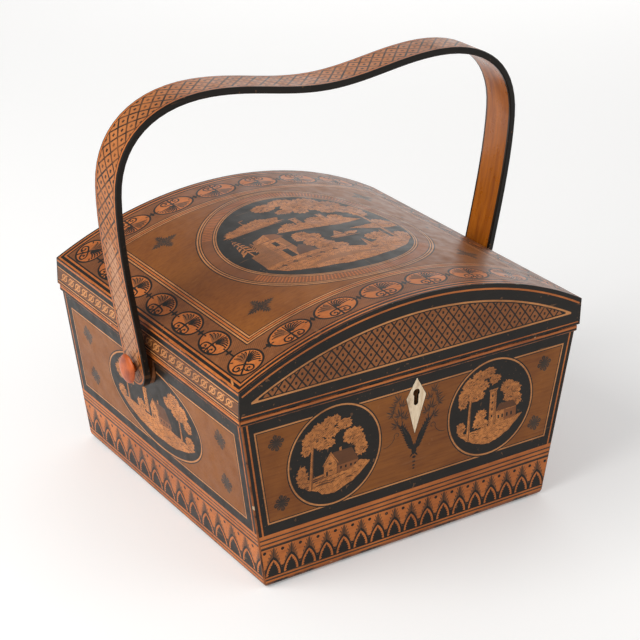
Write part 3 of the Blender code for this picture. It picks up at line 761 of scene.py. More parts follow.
def sprayMotif():  # two feathered arms in a V, lobed leaves and tendrils round them; knot at 0, 0
    motif = []
    for side in (-1, 1):
        arm = bendOf((side * 0.2, -1.2), (side * 3.4, 3.5), (side * 5.0, 10.0), (side * 9.0, 15.6), 11)
        motif.append((strokeOf(arm, 1.8, 4.0, 1.2), "black"))
        for k in range(1, 11):  # the arm's feathered edges
            x, y = arm[k]
            motif.append((leafOf(x + side * 0.4, y - 0.6, math.pi / 2 - side * 1.0, 3.4, 1.0, 0, 5),
                          "black"))
            motif.append((leafOf(x - side * 0.2, y, math.pi / 2 + side * 0.35, 2.6, 0.8, 0, 5), "black"))
        for x, y, angle, size in ((10.2, 21.2, 1.3, 5.2), (14.6, 23.4, 0.5, 4.8), (11.4, 30.6, 1.0, 4.6),
                                  (7.3, 19.2, 2.0, 4.4),
                                  (12.0, 16.2, 0.6, 4.4), (9.0, 27.0, 1.9, 4.2), (13.4, 27.2, 0.3, 4.2)):
            turn = angle if side > 0 else math.pi - angle
            motif += [(placed(points, side * x, y, turn), ink) for points, ink in leafCluster(size)]
        stem = bendOf((side * 5.0, 9.0), (side * 10, 15), (side * 8, 22), (side * 11.6, 32), 12)
        motif.append((strokeOf(stem, 0.5, 0.4, 0.25), "faded"))
        branch = bendOf((side * 7.5, 13), (side * 11, 15), (side * 12, 19), (side * 16.0, 23), 10)
        motif.append((strokeOf(branch, 0.45, 0.35, 0.25), "faded"))
        tendril = np.vstack([bendOf((side * 20.0, 5.0), (side * 18.5, 4.4), (side * 14.5, 5.5),
            (side * 13.2, 9.2), 9), spiralOf(side * 11.6, 10.4, -0.9 if side > 0 else math.pi + 0.9, 2.0,
            side * 0.9, 13, 0.4)[1:]])
        motif.append((strokeOf(tendril, 0.35, 0.42, 0.35), "faded"))
        motif.append((leafOf(side * 0.4, -2.8, -math.pi / 2 + side * 0.75, 3.4, 1.1), "black"))
    motif.append((leafOf(0, -4.2, math.pi / 2, 5.6, 3.4), "black"))
    for y, size in ((-5.6, 1.3), (-8.2, 1.2), (-10.6, 1.0), (-12.4, 0.8)):
        motif.append((ellipseOf(0.2, y, size, size * 0.62, 8), "black"))
    return motif


# Pictures inside the medallions, each about a middle at 0, 0

def shifted(motif, x, y):
    return [(placed(points, x, y), ink) for points, ink in motif]


def cottagePicture():
    motif = crownOf(11, ((-3.9, 19.7, 4.4, 3.2), (-10.6, 17.4, 4.0, 3.2), (0.4, 20.4, 2.6, 2.2),
        (5.6, 16.6, 4.4, 3.0), (-3.0, 13.8, 4.8, 2.9), (-13.8, 12.6, 6.0, 4.8), (-6.0, 8.0, 5.8, 3.0),
        (-17.4, 8.2, 2.8, 4.4)))
    motif += trunkOf(((-14.4, -16.0), (-14.1, -8), (-14.5, 2), (-13.6, 10.5)), 1.7)
    motif += crownOf(12, ((10.8, 8.7, 5.9, 4.3), (15.0, 4.6, 3.6, 3.4), (16.3, 0.2, 3.9, 4.3)))
    motif += [(strokeOf([(-13.5, -10.4), (-6.6, -9.8)], 1.1), "figure"),
              (strokeOf([(-13.5, -11.8), (-6.6, -11.2)], 0.7), "roof")]
    motif += shifted(cottageMotif(), 0.0, -11.2)
    motif += crownOf(13, ((-20.3, -3.6, 2.3, 2.0), (-19.8, -7.6, 3.2, 3.4), (-18.4, -11.6, 3.0, 2.6)), 4)
    motif += landMotif(14, ((-20.6, -12.4), (-14, -12.8), (-6, -11.6), (2, -11.2), (10, -10.6), (16, -7.0),
        (22.0, -9.3)), ((-20.6, -12.6), (-16, -16.4), (-10, -18.6), (-7, -21.2), (0, -22.2), (13, -17.6),
        (22.0, -9.5)), 16)
    motif += [(strokeOf(((-12, -13.4), (-3, -14.0), (7, -12.6)), 0.5), "umber"),
              (leafOf(-13, -15.6, 0.0, 13, 1.2, 0.1), "umber")]
    motif += trunkOf(((-14.4, -16.4), (-14.2, -12), (-14.3, -8), (-14.2, -4)), 1.8)
    return motif


def towerPicture():
    motif = crownOf(21, ((-8.6, 20.2, 4.6, 3.4), (-2.4, 21.4, 4.0, 3.0), (-15.4, 17.0, 4.4, 3.6),
        (1.8, 16.4, 3.4, 2.8), (-7.4, 14.2, 5.2, 3.2), (-17.6, 11.4, 4.6, 4.0), (-10.2, 9.0, 5.0, 3.0),
        (-19.2, 6.8, 2.8, 3.2)))
    motif += crownOf(22, ((11.4, 9.4, 4.6, 3.9), (16.0, 6.6, 4.2, 3.8), (17.4, 0.4, 3.6, 4.0),
                          (12.4, 3.4, 3.4, 3.0)))
    motif += trunkOf(((-14.8, -17.0), (-14.2, -9), (-14.9, 0), (-13.8, 8.5)), 1.7)
    motif += trunkOf(((15.0, -9.0), (15.2, -5), (14.9, -1), (15.4, 3)), 0.9)
    motif += shifted(towerMotif(4.6, 20.4, 4), 1.5, -11.0)
    motif += [(boxOf(4.0, -11.0, 18.0, -3.6), "figure"), (boxOf(9.6, -11.0, 18.0, -4.2), "roof"),
              (np.array([(3.6, -3.8), (18.4, -3.8), (15.6, 0.4), (6.0, 0.4)]), "umber")]
    for x in (5.4, 8.0, 11.2, 14.2):
        motif.append((boxOf(x, -8.6, x + 1.1, -6.4), "black"))
    motif += crownOf(23, ((-6.4, -3.4, 3.6, 3.0), (-7.4, -7.6, 3.8, 3.4), (-3.6, -9.0, 2.4, 2.2),
                          (-19.6, -8.0, 2.8, 3.6)), 4)
    motif += landMotif(24, ((-21.6, -11.6), (-14, -12.4), (-6, -11.4), (2, -11.2), (12, -10.8), (18, -9.6),
        (22.4, -9.0)), ((-21.6, -11.8), (-16, -16.2), (-10, -19.8), (-2, -22.4), (5, -21.4), (14, -17.2),
        (22.4, -9.2)), 18)
    motif += trunkOf(((-14.8, -17.0), (-14.6, -13), (-14.7, -9), (-14.6, -5)), 1.8)
    return motif


def riverPicture():  # the long picture on a side
    motif = crownOf(31, ((-30.0, 12.0, 6.6, 4.2), (-22.0, 14.2, 5.4, 3.4), (-36.0, 6.6, 5.0, 4.4),
        (-26.0, 7.0, 6.0, 3.6), (-17.4, 9.4, 4.4, 2.8)))
    motif += trunkOf(((-30.0, -13.0), (-29.4, -6), (-30.6, 0), (-29.0, 6)), 1.7)
    motif += crownOf(32, ((25.0, 14.4, 6.0, 3.8), (32.4, 10.2, 5.6, 4.2), (18.6, 10.2, 4.8, 3.2),
        (27.0, 6.8, 6.2, 3.8), (36.6, 3.6, 4.0, 4.0)))
    motif += trunkOf(((28.0, -13.0), (27.4, -6), (28.6, 0), (27.0, 6)), 1.7)
    motif += shifted(towerMotif(4.2, 15.0, 3), -9.0, -8.0)
    motif += shifted(cottageMotif(), 2.0, -9.0)
    motif += crownOf(33, ((36.4, -6.4, 4.4, 3.4), (-37.4, -6.4, 4.0, 3.4), (-16.0, -6.0, 4.2, 3.4)), 4)
    motif += landMotif(34, ((-41, -9.0), (-30, -8.6), (-14, -9.2), (0, -9.0), (14, -8.4), (30, -8.8),
        (41, -9.2)), ((-41, -9.2), (-33, -14.2), (-20, -18.2), (-2, -20.4), (18, -18.6), (32, -14.6),
        (41, -9.4)), 24)
    return motif


def lakePicture():  # the large picture on the lid
    motif = crownOf(40, ((-36.0, 25.6, 6.2, 3.0), (-20.0, 28.4, 5.6, 3.6), (-13.0, 26.4, 5.6, 3.0),
                         (-28.0, 26.6, 6.4, 4.0)))
    motif += [(leafOf(-45.0, 23.4, 0.0, 40.0, 4.6), "figure"),
              (leafOf(-44.0, 21.6, 0.0, 38.0, 2.2), "shade"),
              (strokeOf([(-27.6, 29), (-27.4, 36)], 0.6, 0.5, 0.3), "figure"),
              (leafOf(-27.4, 35.4, 0.3, 3.4, 1.3), "roof")]
    motif += landMotif(41, ((-19, 9.4), (-12, 12.0), (0, 13.4), (12, 14.0), (24, 13.4), (36, 8.4)),
                       ((-19, 9.2), (-8, 6.0), (6, 4.0), (18, 3.2), (28, 5.2), (36, 8.2)), 12)
    motif += shifted(towerMotif(4.0, 8.0, 2), -1.1, 13.2) + shifted(towerMotif(3.4, 7.0, 2), 15.4, 13.8)
    motif += crownOf(42, ((-8.4, 13.8, 4.2, 3.0), (-13.0, 11.6, 3.4, 2.4), (9.0, 14.6, 5.6, 3.6),
                          (22.4, 14.4, 4.4, 3.4)), 4)
    motif += [(leafOf(2.0, -11.4, 0.06, 13.4, 3.2, -0.1), "figure"),
              (np.array([(5.6, -9.6), (12.2, -9.6), (9.3, -3.8)]), "figure"),
              (leafOf(12.6, -9.2, 0.04, 9.4, 4.0, -0.2), "figure"),
              (leafOf(1.0, -13.6, 0.03, 21.0, 1.2), "shade"),
              (strokeOf([(9.2, -9.6), (9.2, -4.0)], 0.35), "umber")]
    motif += landMotif(44, ((19.6, -4.4), (30, -2.2), (42, 1.0), (53, 0.0)),
                       ((19.6, -4.6), (32, -7.4), (44, -7.8), (53, -4.2)), 8)
    motif += crownOf(45, ((44.4, 2.4, 5.6, 3.8), (49.6, -0.6, 4.6, 4.2)), 5)
    motif += shifted(pineMotif(46, 26.0), -42.4, -7.0) + shifted(pineMotif(47, 15.0), -37.0, -6.0)
    motif += crownOf(48, ((-6.6, 43.0, 7.4, 5.0), (5.8, 45.4, 7.6, 4.6), (19.4, 41.6, 8.2, 5.6),
        (31.0, 33.6, 8.0, 6.0), (10.0, 36.6, 8.0, 5.6), (0.8, 33.0, 5.2, 3.2), (20.4, 33.4, 7.0, 5.6),
        (10.0, 30.2, 4.6, 4.2), (25.0, 26.6, 5.6, 4.8), (36.2, 24.6, 7.4, 5.8), (43.0, 24.4, 4.4, 5.4),
        (40.6, 17.6, 5.4, 4.8)), 10)
    motif += trunkOf(((40.4, -30.0), (37.0, -12), (41.0, -2), (38.8, 18)), 2.3)
    motif += trunkOf(((35.0, -26.0), (34.6, -20), (34.0, -16), (34.8, -11)), 1.0)
    motif += [(np.array([(-45, -23), (-44.6, -5.6), (-39, -4.6), (-35, 9.0), (-31.6, 10.4), (-31.6, -23)]),
               "shade")]
    motif += [(boxOf(-32.2, -22.0, -19.8, 5.0), "figure"), (boxOf(-23.4, -22.0, -19.8, 5.0), "shade"),
              (np.array([(-35.0, 4.6), (-18.0, 4.6), (-20.4, 9.6), (-25.8, 12.6), (-31.6, 9.8)]), "figure"),
              (np.array([(-26.0, 4.6), (-18.0, 4.6), (-20.4, 9.6), (-25.8, 12.6)]), "roof"),
              (strokeOf([(-35.0, 4.4), (-18.0, 4.4)], 0.6), "umber"),
              (boxOf(-28.0, -4.4, -25.2, 1.2), "black"),
              (boxOf(-28.2, -20.6, -24.6, -10.0), "black"), (boxOf(-32.0, -8.2, -20.0, -7.6), "umber"),
              (np.array([(-24.0, -21.0), (-12.6, -21.0), (-13.4, -13.0), (-17.6, -9.6), (-22.0, -15.0)]),
               "umber")]
    motif += crownOf(49, ((-10.4, 0.0, 4.8, 3.4), (-12.4, -4.0, 3.6, 3.2), (-6.4, -5.4, 5.4, 4.0),
        (-8.0, -12.0, 6.0, 5.2), (-5.4, -18.6, 6.0, 5.4), (0.0, -23.4, 5.4, 4.0), (24.4, -20.0, 4.2, 4.4),
        (30.2, -18.6, 4.4, 5.0), (45.6, -19.6, 4.8, 5.0)), 8)
    motif += landMotif(50, ((-45.2, -21.0), (-32, -21.4), (-14, -21.0), (-2, -23.6), (6, -27.2),
        (14, -30.2), (20, -27.0), (28, -22.6), (38, -22.0), (49, -22.6)), ((-45.2, -23.4), (-38, -33.0),
        (-25, -40.0), (-8, -45.4), (6, -45.8), (24, -41.6), (36, -35.6), (49, -23.0)), 40)
    motif += [(leafOf(-30, -36.5, -0.04, 50, 4.4, 0.1), "shade"),
              (leafOf(-41, -25.2, 0.0, 38, 2.6, -0.05), "shade")]
    for x in (-38.0, -31.0, -22.5, -14.0, -6.0):
        motif += [(leafOf(x, -26.6, 0.9, 2.8, 1.6), "umber"),
                  (leafOf(x + 2.4, -27.4, 2.0, 2.4, 1.2), "black")]
    motif += [(np.array([(13.4, -32.6), (19.4, -32.6), (16.6, -19.4)]), "figure"),
              (strokeOf([(16.4, -33.6), (16.6, -20)], 0.5), "umber"),
              (leafOf(14.2, -33.6, 0.1, 5.6, 1.6), "umber"),
              (ellipseOf(18.6, -27.6, 0.9, 1.0, 8), "figure")]
    return motif


def medallion(sheet, x, y, wide, high, picture, steps=56):
    for grow, ink in ((1.5, "black"), (0.8, "pale"), (-0.15, "black")):
        sheet.append((ellipseOf(x, y, wide + grow, high + grow, steps), ink))
    window = ellipseOf(x, y, wide - 1.6, high - 1.6, 40)
    stampInside(sheet, picture, window, x, y)


# Sheets of penwork for the walls

wallSettings = {
    "front": {"frame": (38.0, 92.0, 90.3, 99.0), "lines": (29.0, 26.4, 24.1), "frieze": (6.7, 23.4),
              "pitch": 10.9,
              "band": 31.6, "low": (4.6, 2.2), "starAt": ((86.5, 83.5), (82.5, 48.0)), "starSize": 1.0},
    "side": {"frame": (39.5, 89.5, 88.0, 88.0), "lines": (31.2, 28.9, 26.7), "frieze": (7.5, 26.0),
             "pitch": 13.87,
             "band": 33.4, "low": (5.0, 2.4), "starAt": ((72.0, 79.0), (72.0, 52.5)), "starSize": 1.18},
}


def wallSheet(s, halfLow, halfHigh, height, picture):
    taper = (halfHigh - halfLow) / height

    def half(z, inset=0.0):
        return halfLow + taper * z - inset

    def level(z0, z1, inset=0.0):
        return np.array([(-half(z0, inset), z0), (half(z0, inset), z0), (half(z1, inset), z1),
                         (-half(z1, inset), z1)])
    sheet = []
    low, high, frameLow, frameHigh = s["frame"]
    for side in (-1, 1):  # amber line down each corner
        path = [(side * half(s["band"], 3.2), s["band"]), (side * half(height, 3.2), height)]
        sheet.append((strokeOf(path, 0.95), "tan"))
        path = [(side * half(0, 0.55), 0), (side * half(height, 0.55), height)]
        sheet.append((strokeOf(path, 0.5), "tan"))
    slope = (frameHigh - frameLow) / (high - low)
    for grow, ink in ((0.5, "pale"), (-0.35, "black"), (-0.85, "ground")):
        a, b = low - grow, high + grow
        wl, wh = frameLow - slope * grow + grow, frameHigh + slope * grow + grow
        sheet.append((np.array([(-wl, a), (wl, a), (wh, b), (-wh, b)]), ink))
    picture(sheet)
    for x, z in s["starAt"]:
        for side in (-1, 1):
            stamp(sheet, starMotif(), side * x, z, 0.0, s["starSize"])
    sheet.append((level(0.0, s["band"], 0.5), "tan"))
    for z in s["lines"]:
        sheet.append((level(z - 0.45, z + 0.45, 0.5), "faded"))
    base, top = s["frieze"]
    sheet.append((level(top - 0.25, top + 0.25, 0.5), "black"))
    window = [(-half(base, 1.0), base), (half(base, 1.0), base), (half(top, 1.0), top),
              (-half(top, 1.0), top)]
    unit = friezeUnit(s["pitch"], top - base)
    count = int(half(top) / s["pitch"]) + 1
    for k in range(-count, count + 1):
        stampInside(sheet, unit, window, k * s["pitch"], base)
    sheet.append((level(base - 0.7, base, 0.5), "black"))
    for z in s["low"]:
        sheet.append((level(z - 0.45, z + 0.45, 0.5), "faded"))
    sheet.append((level(0.0, 1.0, 0.5), "black"))
    return sheet


def gatePicture():  # a simple landscape for the back
    motif = crownOf(51, ((-18.0, 10.6, 6.0, 4.2), (-24.4, 5.6, 4.4, 4.0), (-12.6, 6.4, 5.0, 3.2)))
    motif += trunkOf(((-18.0, -13.0), (-17.4, -7), (-18.6, -2), (-17.2, 5)), 1.5)
    motif += shifted(cottageMotif(), 2.0, -9.4)
    motif += landMotif(54, ((-31, -9.6), (-16, -9.2), (0, -9.6), (16, -9.0), (31, -9.6)),
                       ((-31, -9.8), (-20, -15.6), (0, -18.6), (20, -15.8), (31, -9.8)), 16)
    return motif


def frontPicture(sheet):
    stamp(sheet, sprayMotif(), 0.0, 56.2)
    medallion(sheet, -50.6, 66.5, 28.0, 28.0, cottagePicture())
    medallion(sheet, 50.6, 66.5, 28.0, 28.0, towerPicture())


def sidePicture(sheet):
    medallion(sheet, 0.0, 65.5, 49.5, 25.6, riverPicture(), 72)


def backPicture(sheet):  # plainer, as backs are: one leafy spray each side of an oval
    medallion(sheet, 0.0, 65.5, 40.0, 24.0, gatePicture(), 64)
    for side in (-1, 1):
        stamp(sheet, sprigMotif(), side * 66.0, 65.5)


# The lid's sheets

lidSettings = {"halfDepth": 98.0, "radius": 227.5, "crown": 145.4, "halfWidth": 108.8, "tickCount": 200,
               "frames": ((113.0, 97.2, "tan"), (111.9, 96.2, "black"), (110.2, 94.6, "tan"),
                          (109.1, 93.5, "black"),
                          (108.2, 92.5, "hatch"), (90.6, 72.0, "black"), (89.9, 71.3, "pale"),
                          (89.0, 70.4, "black"),
                          (88.4, 69.8, "tan"), (87.2, 68.6, "black"), (86.6, 68.0, "pale"),
                          (85.7, 67.1, "black"),
                          (85.2, 66.6, "ground")),
               "dents": ((76.3, -2.7, 2.6, 1.2, 1.2), (85.5, 16.5, 2.0, 0.7, 1.1),
                         (69.6, 13.0, 1.4, 0.8, 0.9),
                         (95.8, 20.0, 1.8, 0.6, 1.0), (71.0, 45.7, 1.2, 0.6, 0.8),
                         (89.6, 64.8, 2.6, 0.7, 0.9),
                         (78.0, 60.4, 1.5, 0.6, 1.2), (58.0, 62.0, 1.2, 0.5, 0.7)),
               # rubs along the edges; the pale ones on the front edge are wear and painted highlight
               "rubsAndGlints": ((-113.2, -92.0, 5.0, 1.0, 1.57, "tan"), (-112.9, -70.0, 11.0, 0.9, 1.57, "tan"),
                        (-113.1, -38.0, 8.0, 0.8, 1.56, "tan"), (-113.0, 10.0, 14.0, 0.7, 1.57, "tan"),
                        (-113.1, 62.0, 7.0, 0.8, 1.58, "tan"), (-111.0, -88.4, 2.2, 0.5, 1.2, "pale"),
                        (-64.0, -97.2, 1.6, 0.4, 0.1, "pale"), (-22.0, -96.9, 2.0, 0.35, 3.1, "pale"),
                        (31.0, -97.2, 1.2, 0.4, 0.0, "pale"), (86.0, -97.0, 2.4, 0.4, 0.05, "pale"),
                        (112.9, -60.0, 6.0, 0.7, 1.57, "tan"), (112.9, 48.0, 9.0, 0.6, 1.57, "tan")),
               "ringRadius": 65.6, "rowY": 82.2, "rowPitch": 28.3, "columnX": 99.5, "columnPitch": 27.2}


def lidTopSheet(s):
    sheet = []
    for wide, deep, ink in s["frames"]:
        sheet.append((boxOf(-wide, -deep, wide, deep), ink))
    rows = [s["rowPitch"] * (k - 2.5) for k in range(6)]
    columns = [s["columnPitch"] * (k - 2) for k in range(5)]
    for side in (-1, 1):
        links = [-97.0] + rows + [97.0]
        for a, b in zip(links, links[1:]):
            y = side * s["rowY"]
            sheet.append((boxOf(a + 10, y - 0.5, b - 10, y + 0.5), "black"))
            sheet.append((ellipseOf((a + b) / 2, y, 0.9, 2.2, 12), "black"))
        links = [-s["rowY"]] + columns + [s["rowY"]]
        for a, b in zip(links, links[1:]):
            x = side * s["columnX"]
            sheet.append((boxOf(x - 0.5, a + 9, x + 0.5, b - 9), "black"))
            sheet.append((ellipseOf(x, (a + b) / 2, 2.2, 0.9, 12), "black"))
        for x in rows:
            stamp(sheet, roundelMotif(12.6, 8.9), x, side * s["rowY"], 0.0 if side < 0 else math.pi)
        for y in columns:
            stamp(sheet, roundelMotif(11.5, 8.1), side * s["columnX"], y,
                  -math.pi / 2 if side < 0 else math.pi / 2)
        for other in (-1, 1):
            turn = math.atan2(-other * 81.5, -side * 97.5) - math.pi / 2
            stamp(sheet, roundelMotif(9.9, 9.9), side * 98.2, other * 82.3, turn)
    # tan rubs along the side edges are wear; the pale nicks along the front edge are partly wear and partly
    # painted highlight
    for x, y, long, wide, turn, ink in s["rubsAndGlints"]:
        edge = blobOf(0, 0, long, wide, int(4 + long), random.Random(int(50 + y)), 0.2)
        sheet.append((placed(edge, x, y, turn), ink))
    for x in (-67.5, 67.5):
        for y in (-50.0, 50.0):
            stamp(sheet, sprigMotif(), x, y)
    for x, y, wide, high, turn in s["dents"]:  # old knocks, dark at the bottom
        sheet.append((placed(ellipseOf(0, 0, wide, high, 10), x, y, turn), "umber"))
        sheet.append((placed(ellipseOf(0, 0, wide * 0.55, high * 0.5, 8), x, y, turn), "faded"))
    r = s["ringRadius"]
    for reach, ink in ((r + 0.4, "black"), (r - 0.3, "pale"), (r - 1.2, "black"), (r - 1.8, "pale"),
                       (r - 2.5, "black"),
                       (r - 3.0, "roof")):
        sheet.append((ellipseOf(0, 0, reach, reach, 110), ink))
    for k in range(s["tickCount"]):  # short radial ticks along two arcs of the band
        angle = 2 * math.pi * k / s["tickCount"]
        if not (25 < math.degrees(angle) < 150 or 205 < math.degrees(angle) < 325):
            continue
        cos, sin = math.cos(angle), math.sin(angle)
        inner, outer = r - 9.0, r - 3.4
        sheet.append((strokeOf([(inner * cos, inner * sin), (outer * cos, outer * sin)], 0.7, 0.75, 0.6),
                      "tan"))
    for reach, ink in ((r - 8.9, "black"), (r - 9.4, "pale"), (r - 10.2, "black"), (r - 10.7, "pale"),
                       (r - 11.3, "black")):
        sheet.append((ellipseOf(0, 0, reach, reach, 100), ink))
    stampInside(sheet, lakePicture(), ellipseOf(0, 0, r - 12.4, r - 12.4, 60), 0, 0)
    return sheet


def archLine(s, drop, half, steps=40):  # points along the arch, a given drop below its edge
    middle = s["crown"] - s["radius"]
    xs = np.linspace(-half, half, steps)
    return np.stack([xs, middle + np.sqrt((s["radius"] - drop) ** 2 - xs ** 2)], 1)


def lidEndSheet(s):  # the lens shaped panel of the front and the back
    sheet = []
    upper = archLine(s, 2.4, 107.6)
    lower = archLine(s, 3.4, 107.0)
    sheet.append((np.vstack([lower, upper[::-1]]), "tan"))
    sheet.append((boxOf(-107.6, 103.7, 107.6, 104.35), "tan"))
    for drop, base, ink in ((9.2, 110.0, "pale"), (10.2, 111.0, "black"), (10.8, 111.6, "lattice")):
        arc = archLine(s, drop, 120.0, 120)
        arc = arc[arc[:, 1] > base]
        sheet.append((np.vstack([[(arc[0, 0], base)], arc, [(arc[-1, 0], base)]]), ink))
    return sheet


def lidSideSheet():
    sheet = []
    for low, high, ink in ((115.9, 117.0, "tan"), (112.3, 113.0, "pale"), (105.3, 111.6, "umber"),
                           (103.7, 104.4, "pale"),
                           (102.3, 102.9, "tan")):
        sheet.append((boxOf(-97.6, low, 97.6, high), ink))
    middle, pitch = 108.6, 8.1
    for k in range(-12, 13):
        x = k * pitch
        if abs(x) > 94:
            continue
        sheet.append((ringOf(x, middle, 3.1, 2.3, 0.85, 20), "pale"))
        sheet.append((ellipseOf(x, middle, 1.2, 0.9, 10), "pale"))
        wave = bendOf((x - pitch / 2, middle - 2.3), (x - 1.6, middle - 3.2), (x + 1.6, middle + 3.2),
                      (x + pitch / 2, middle + 2.3), 9)
        sheet.append((strokeOf(wave, 0.75), "pale"))
    for low in (105.3, 111.1):
        sheet.append((boxOf(-97.6, low, 97.6, low + 0.55), "roof"))
    return sheet


def rimSheet(half):
    return [(boxOf(-half, 99.9, half, 101.4), "tan"), (boxOf(-half + 0.6, 98.3, half - 0.6, 98.8), "roof")]


# Laying a sheet on a panel: the panel's faces are cut along the drawing's lines

def crossingCount(ends, spots):
    count = np.zeros(len(spots), int)
    x, y = spots[:, 0], spots[:, 1]
    for ax, ay, bx, by in ends:
        spans = (ay > y) != (by > y)
        if spans.any():
            at = ax + (y[spans] - ay) * (bx - ax) / (by - ay)
            count[np.flatnonzero(spans)[at > x[spans]]] += 1
    return count


def insideOf(points, spots):
    a = points
    b = np.roll(points, -1, 0)
    x = spots[:, 0][:, None]
    y = spots[:, 1][:, None]
    side = (b[:, 0] - a[:, 0]) * (y - a[:, 1]) - (x - a[:, 0]) * (b[:, 1] - a[:, 1])
    up = (a[:, 1] <= y) & (b[:, 1] > y) & (side > 0)
    down = (a[:, 1] > y) & (b[:, 1] <= y) & (side < 0)
    return (up.sum(1) - down.sum(1)) != 0


def inkOf(sheet, centres, inks):
    found = np.full(len(centres), inks["black"])
    order = np.argsort(centres[:, 0])
    sortedX = centres[order, 0]
    for points, ink in sheet:
        low, high = points.min(0), points.max(0)
        first, last = np.searchsorted(sortedX, [low[0], high[0]])
        rows = order[first:last]
        rows = rows[(centres[rows, 1] > low[1]) & (centres[rows, 1] < high[1])]
        if len(rows):
            found[rows[insideOf(points, centres[rows])]] = inks[ink]
    return found


def layPanel(work, faces, flat, lift, normalAt, sheet, inks, keepLines=False):
    uvLayer = work.loops.layers.uv["pen"]
    bendLayer = work.loops.layers.float_vector["bend"]
    chosen = set(faces)
    edges = {edge for face in faces for edge in face.edges}
    rim = [edge for edge in edges if sum(face in chosen for face in edge.link_faces) == 1]
    rim.sort(key=lambda edge: edge.index)
    points, known, links = [], {}, []

    def spot(vert):
        if vert not in known:
            known[vert] = len(points)
            points.append(Vector(flat(vert.co)))
        return known[vert]
    for edge in rim:
        links.append((spot(edge.verts[0]), spot(edge.verts[1])))
    if keepLines:
        for edge in sorted(edges - set(rim), key=lambda edge: edge.index):
            a, b = flat(edge.verts[0].co), flat(edge.verts[1].co)
            if abs(a[0] - b[0]) < 0.02 and abs(a[1] - b[1]) > 0.02:
                links.append((spot(edge.verts[0]), spot(edge.verts[1])))
    ends = [(*points[a], *points[b]) for a, b in links[:len(rim)]]
    owners = {index: vert for vert, index in known.items()}
    for outline, _ in sheet:
        start = len(points)
        points.extend(Vector(point) for point in outline)
        links.extend((start + i, start + (i + 1) % len(outline)) for i in range(len(outline)))
    laid = delaunay_2d_cdt(points, links, [], 0, 0.0005, True)
    spots, foundEdges, triangles, fromVerts, fromEdges = laid[:5]
    flatSpots = np.array([tuple(point) for point in spots])
    corners = np.array([tuple(triangle) for triangle in triangles])
    centres = flatSpots[corners].mean(1)
    keep = crossingCount(ends, centres) % 2 == 1
    corners, centres = corners[keep], centres[keep]
    found = inkOf(sheet, centres, inks)
    onRim = {}
    for (a, b), origins in zip(foundEdges, fromEdges):
        for origin in origins:
            if origin < len(rim):
                onRim.setdefault(origin, set()).update((a, b))
    bmesh.ops.delete(work, geom=faces, context="FACES")
    verts = {}
    for index, origins in enumerate(fromVerts):
        for origin in origins:
            if origin in owners and owners[origin].is_valid:
                verts[index] = owners[origin]
    # neighbours get a corner where a drawn line meets the panel's edge
    for origin, members in onRim.items():
        edge = rim[origin]
        if not edge.is_valid:
            continue
        first, last = (np.array(points[i]) for i in links[origin])
        run = last - first
        length = float(run @ run)
        steps = sorted((float((flatSpots[i] - first) @ run) / length, i) for i in members if i not in verts)
        at, done = edge.verts[0], 0.0
        for share, index in steps:
            if share <= done + 1e-7 or share >= 1 - 1e-7:
                continue
            newVert = bmesh.utils.edge_split(edge, at, (share - done) / (1 - done))[1]
            verts[index] = newVert
            at, done = newVert, share
    for corner, ink in zip(corners, found):
        ring = []
        for index in corner:
            index = int(index)
            if index not in verts:
                verts[index] = work.verts.new(lift(*flatSpots[index]))
            ring.append(verts[index])
        if len(set(ring)) < 3:
            continue
        try:
            face = work.faces.new(ring)
        except ValueError:
            continue
        face.material_index = int(ink)
        face.smooth = True
        for loop, index in zip(face.loops, corner):
            loop[uvLayer].uv = flatSpots[index]
            loop[bendLayer] = normalAt(*flatSpots[index])
    return len(corners)


def openCopy(node):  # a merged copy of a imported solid, to work on
    work = bmesh.new()
    work.from_mesh(nodes[node].data)
    bmesh.ops.remove_doubles(work, verts=work.verts, dist=1e-6)
    work.loops.layers.uv.new("pen")
    work.loops.layers.float_vector.new("bend")
    work.faces.index_update()
    work.edges.index_update()
    for face in work.faces:
        face.smooth = True
        face.material_index = 0
    return work


def closeCopy(work, name, inks, sharp=35):
    bmesh.ops.triangulate(work, faces=work.faces)
    for edge in work.edges:
        edge.smooth = len(edge.link_faces) == 2 and edge.calc_face_angle() < math.radians(sharp)
    mesh = bpy.data.meshes.new(name)
    work.to_mesh(mesh)
    work.free()
    for ink in sorted(inks, key=inks.get):
        mesh.materials.append(finishes[ink])
    bends = np.zeros(len(mesh.loops) * 3, np.float32)
    mesh.attributes["bend"].data.foreach_get("vector", bends)
    plain = np.zeros(len(mesh.loops) * 3, np.float32)
    mesh.corner_normals.foreach_get("vector", plain)
    bends, plain = bends.reshape(-1, 3), plain.reshape(-1, 3)
    bends = np.where(np.abs(bends).sum(1, keepdims=True) < 0.5, plain, bends)
    mesh.normals_split_custom_set([tuple(bend) for bend in bends])
    mesh.attributes.remove(mesh.attributes["bend"])
    piece = bpy.data.objects.new(name, mesh)
    bpy.context.collection.objects.link(piece)
    print(name, "has", len(mesh.polygons), "triangles")
    return piece


def planeMaps(uAxis, normal, point):  # flat and lift for a flat wall; v is always the height
    back = Matrix((Vector(uAxis), Vector((0, 0, 1)), Vector(normal))).inverted()
    depth = Vector(normal).dot(point)

    def flat(co):
        return (Vector(uAxis).dot(co) / mm, co.z / mm)

    def lift(u, v):
        return back @ Vector((u * mm, v * mm, depth))

    def normalAt(u, v):
        return Vector(normal)
    return flat, lift, normalAt


def layWalls(work, jobs, inks):
    for name, normal, uAxis, test, sheet in jobs:
        want = Vector(normal)
        bare = [face for face in work.faces if face.material_index == 0]
        faces = [face for face in bare if face.normal.dot(want) > 0.9995 and test(face.calc_center_median())]
        if not faces:
            print("no faces for", name)
            continue
        flat, lift, normalAt = planeMaps(uAxis, faces[0].normal.copy(), faces[0].verts[0].co.copy())
        print("  ", name, layPanel(work, faces, flat, lift, normalAt, sheet, inks))


def inkIndex(names):
    return {name: index for index, name in enumerate(names.split())}


# Box body

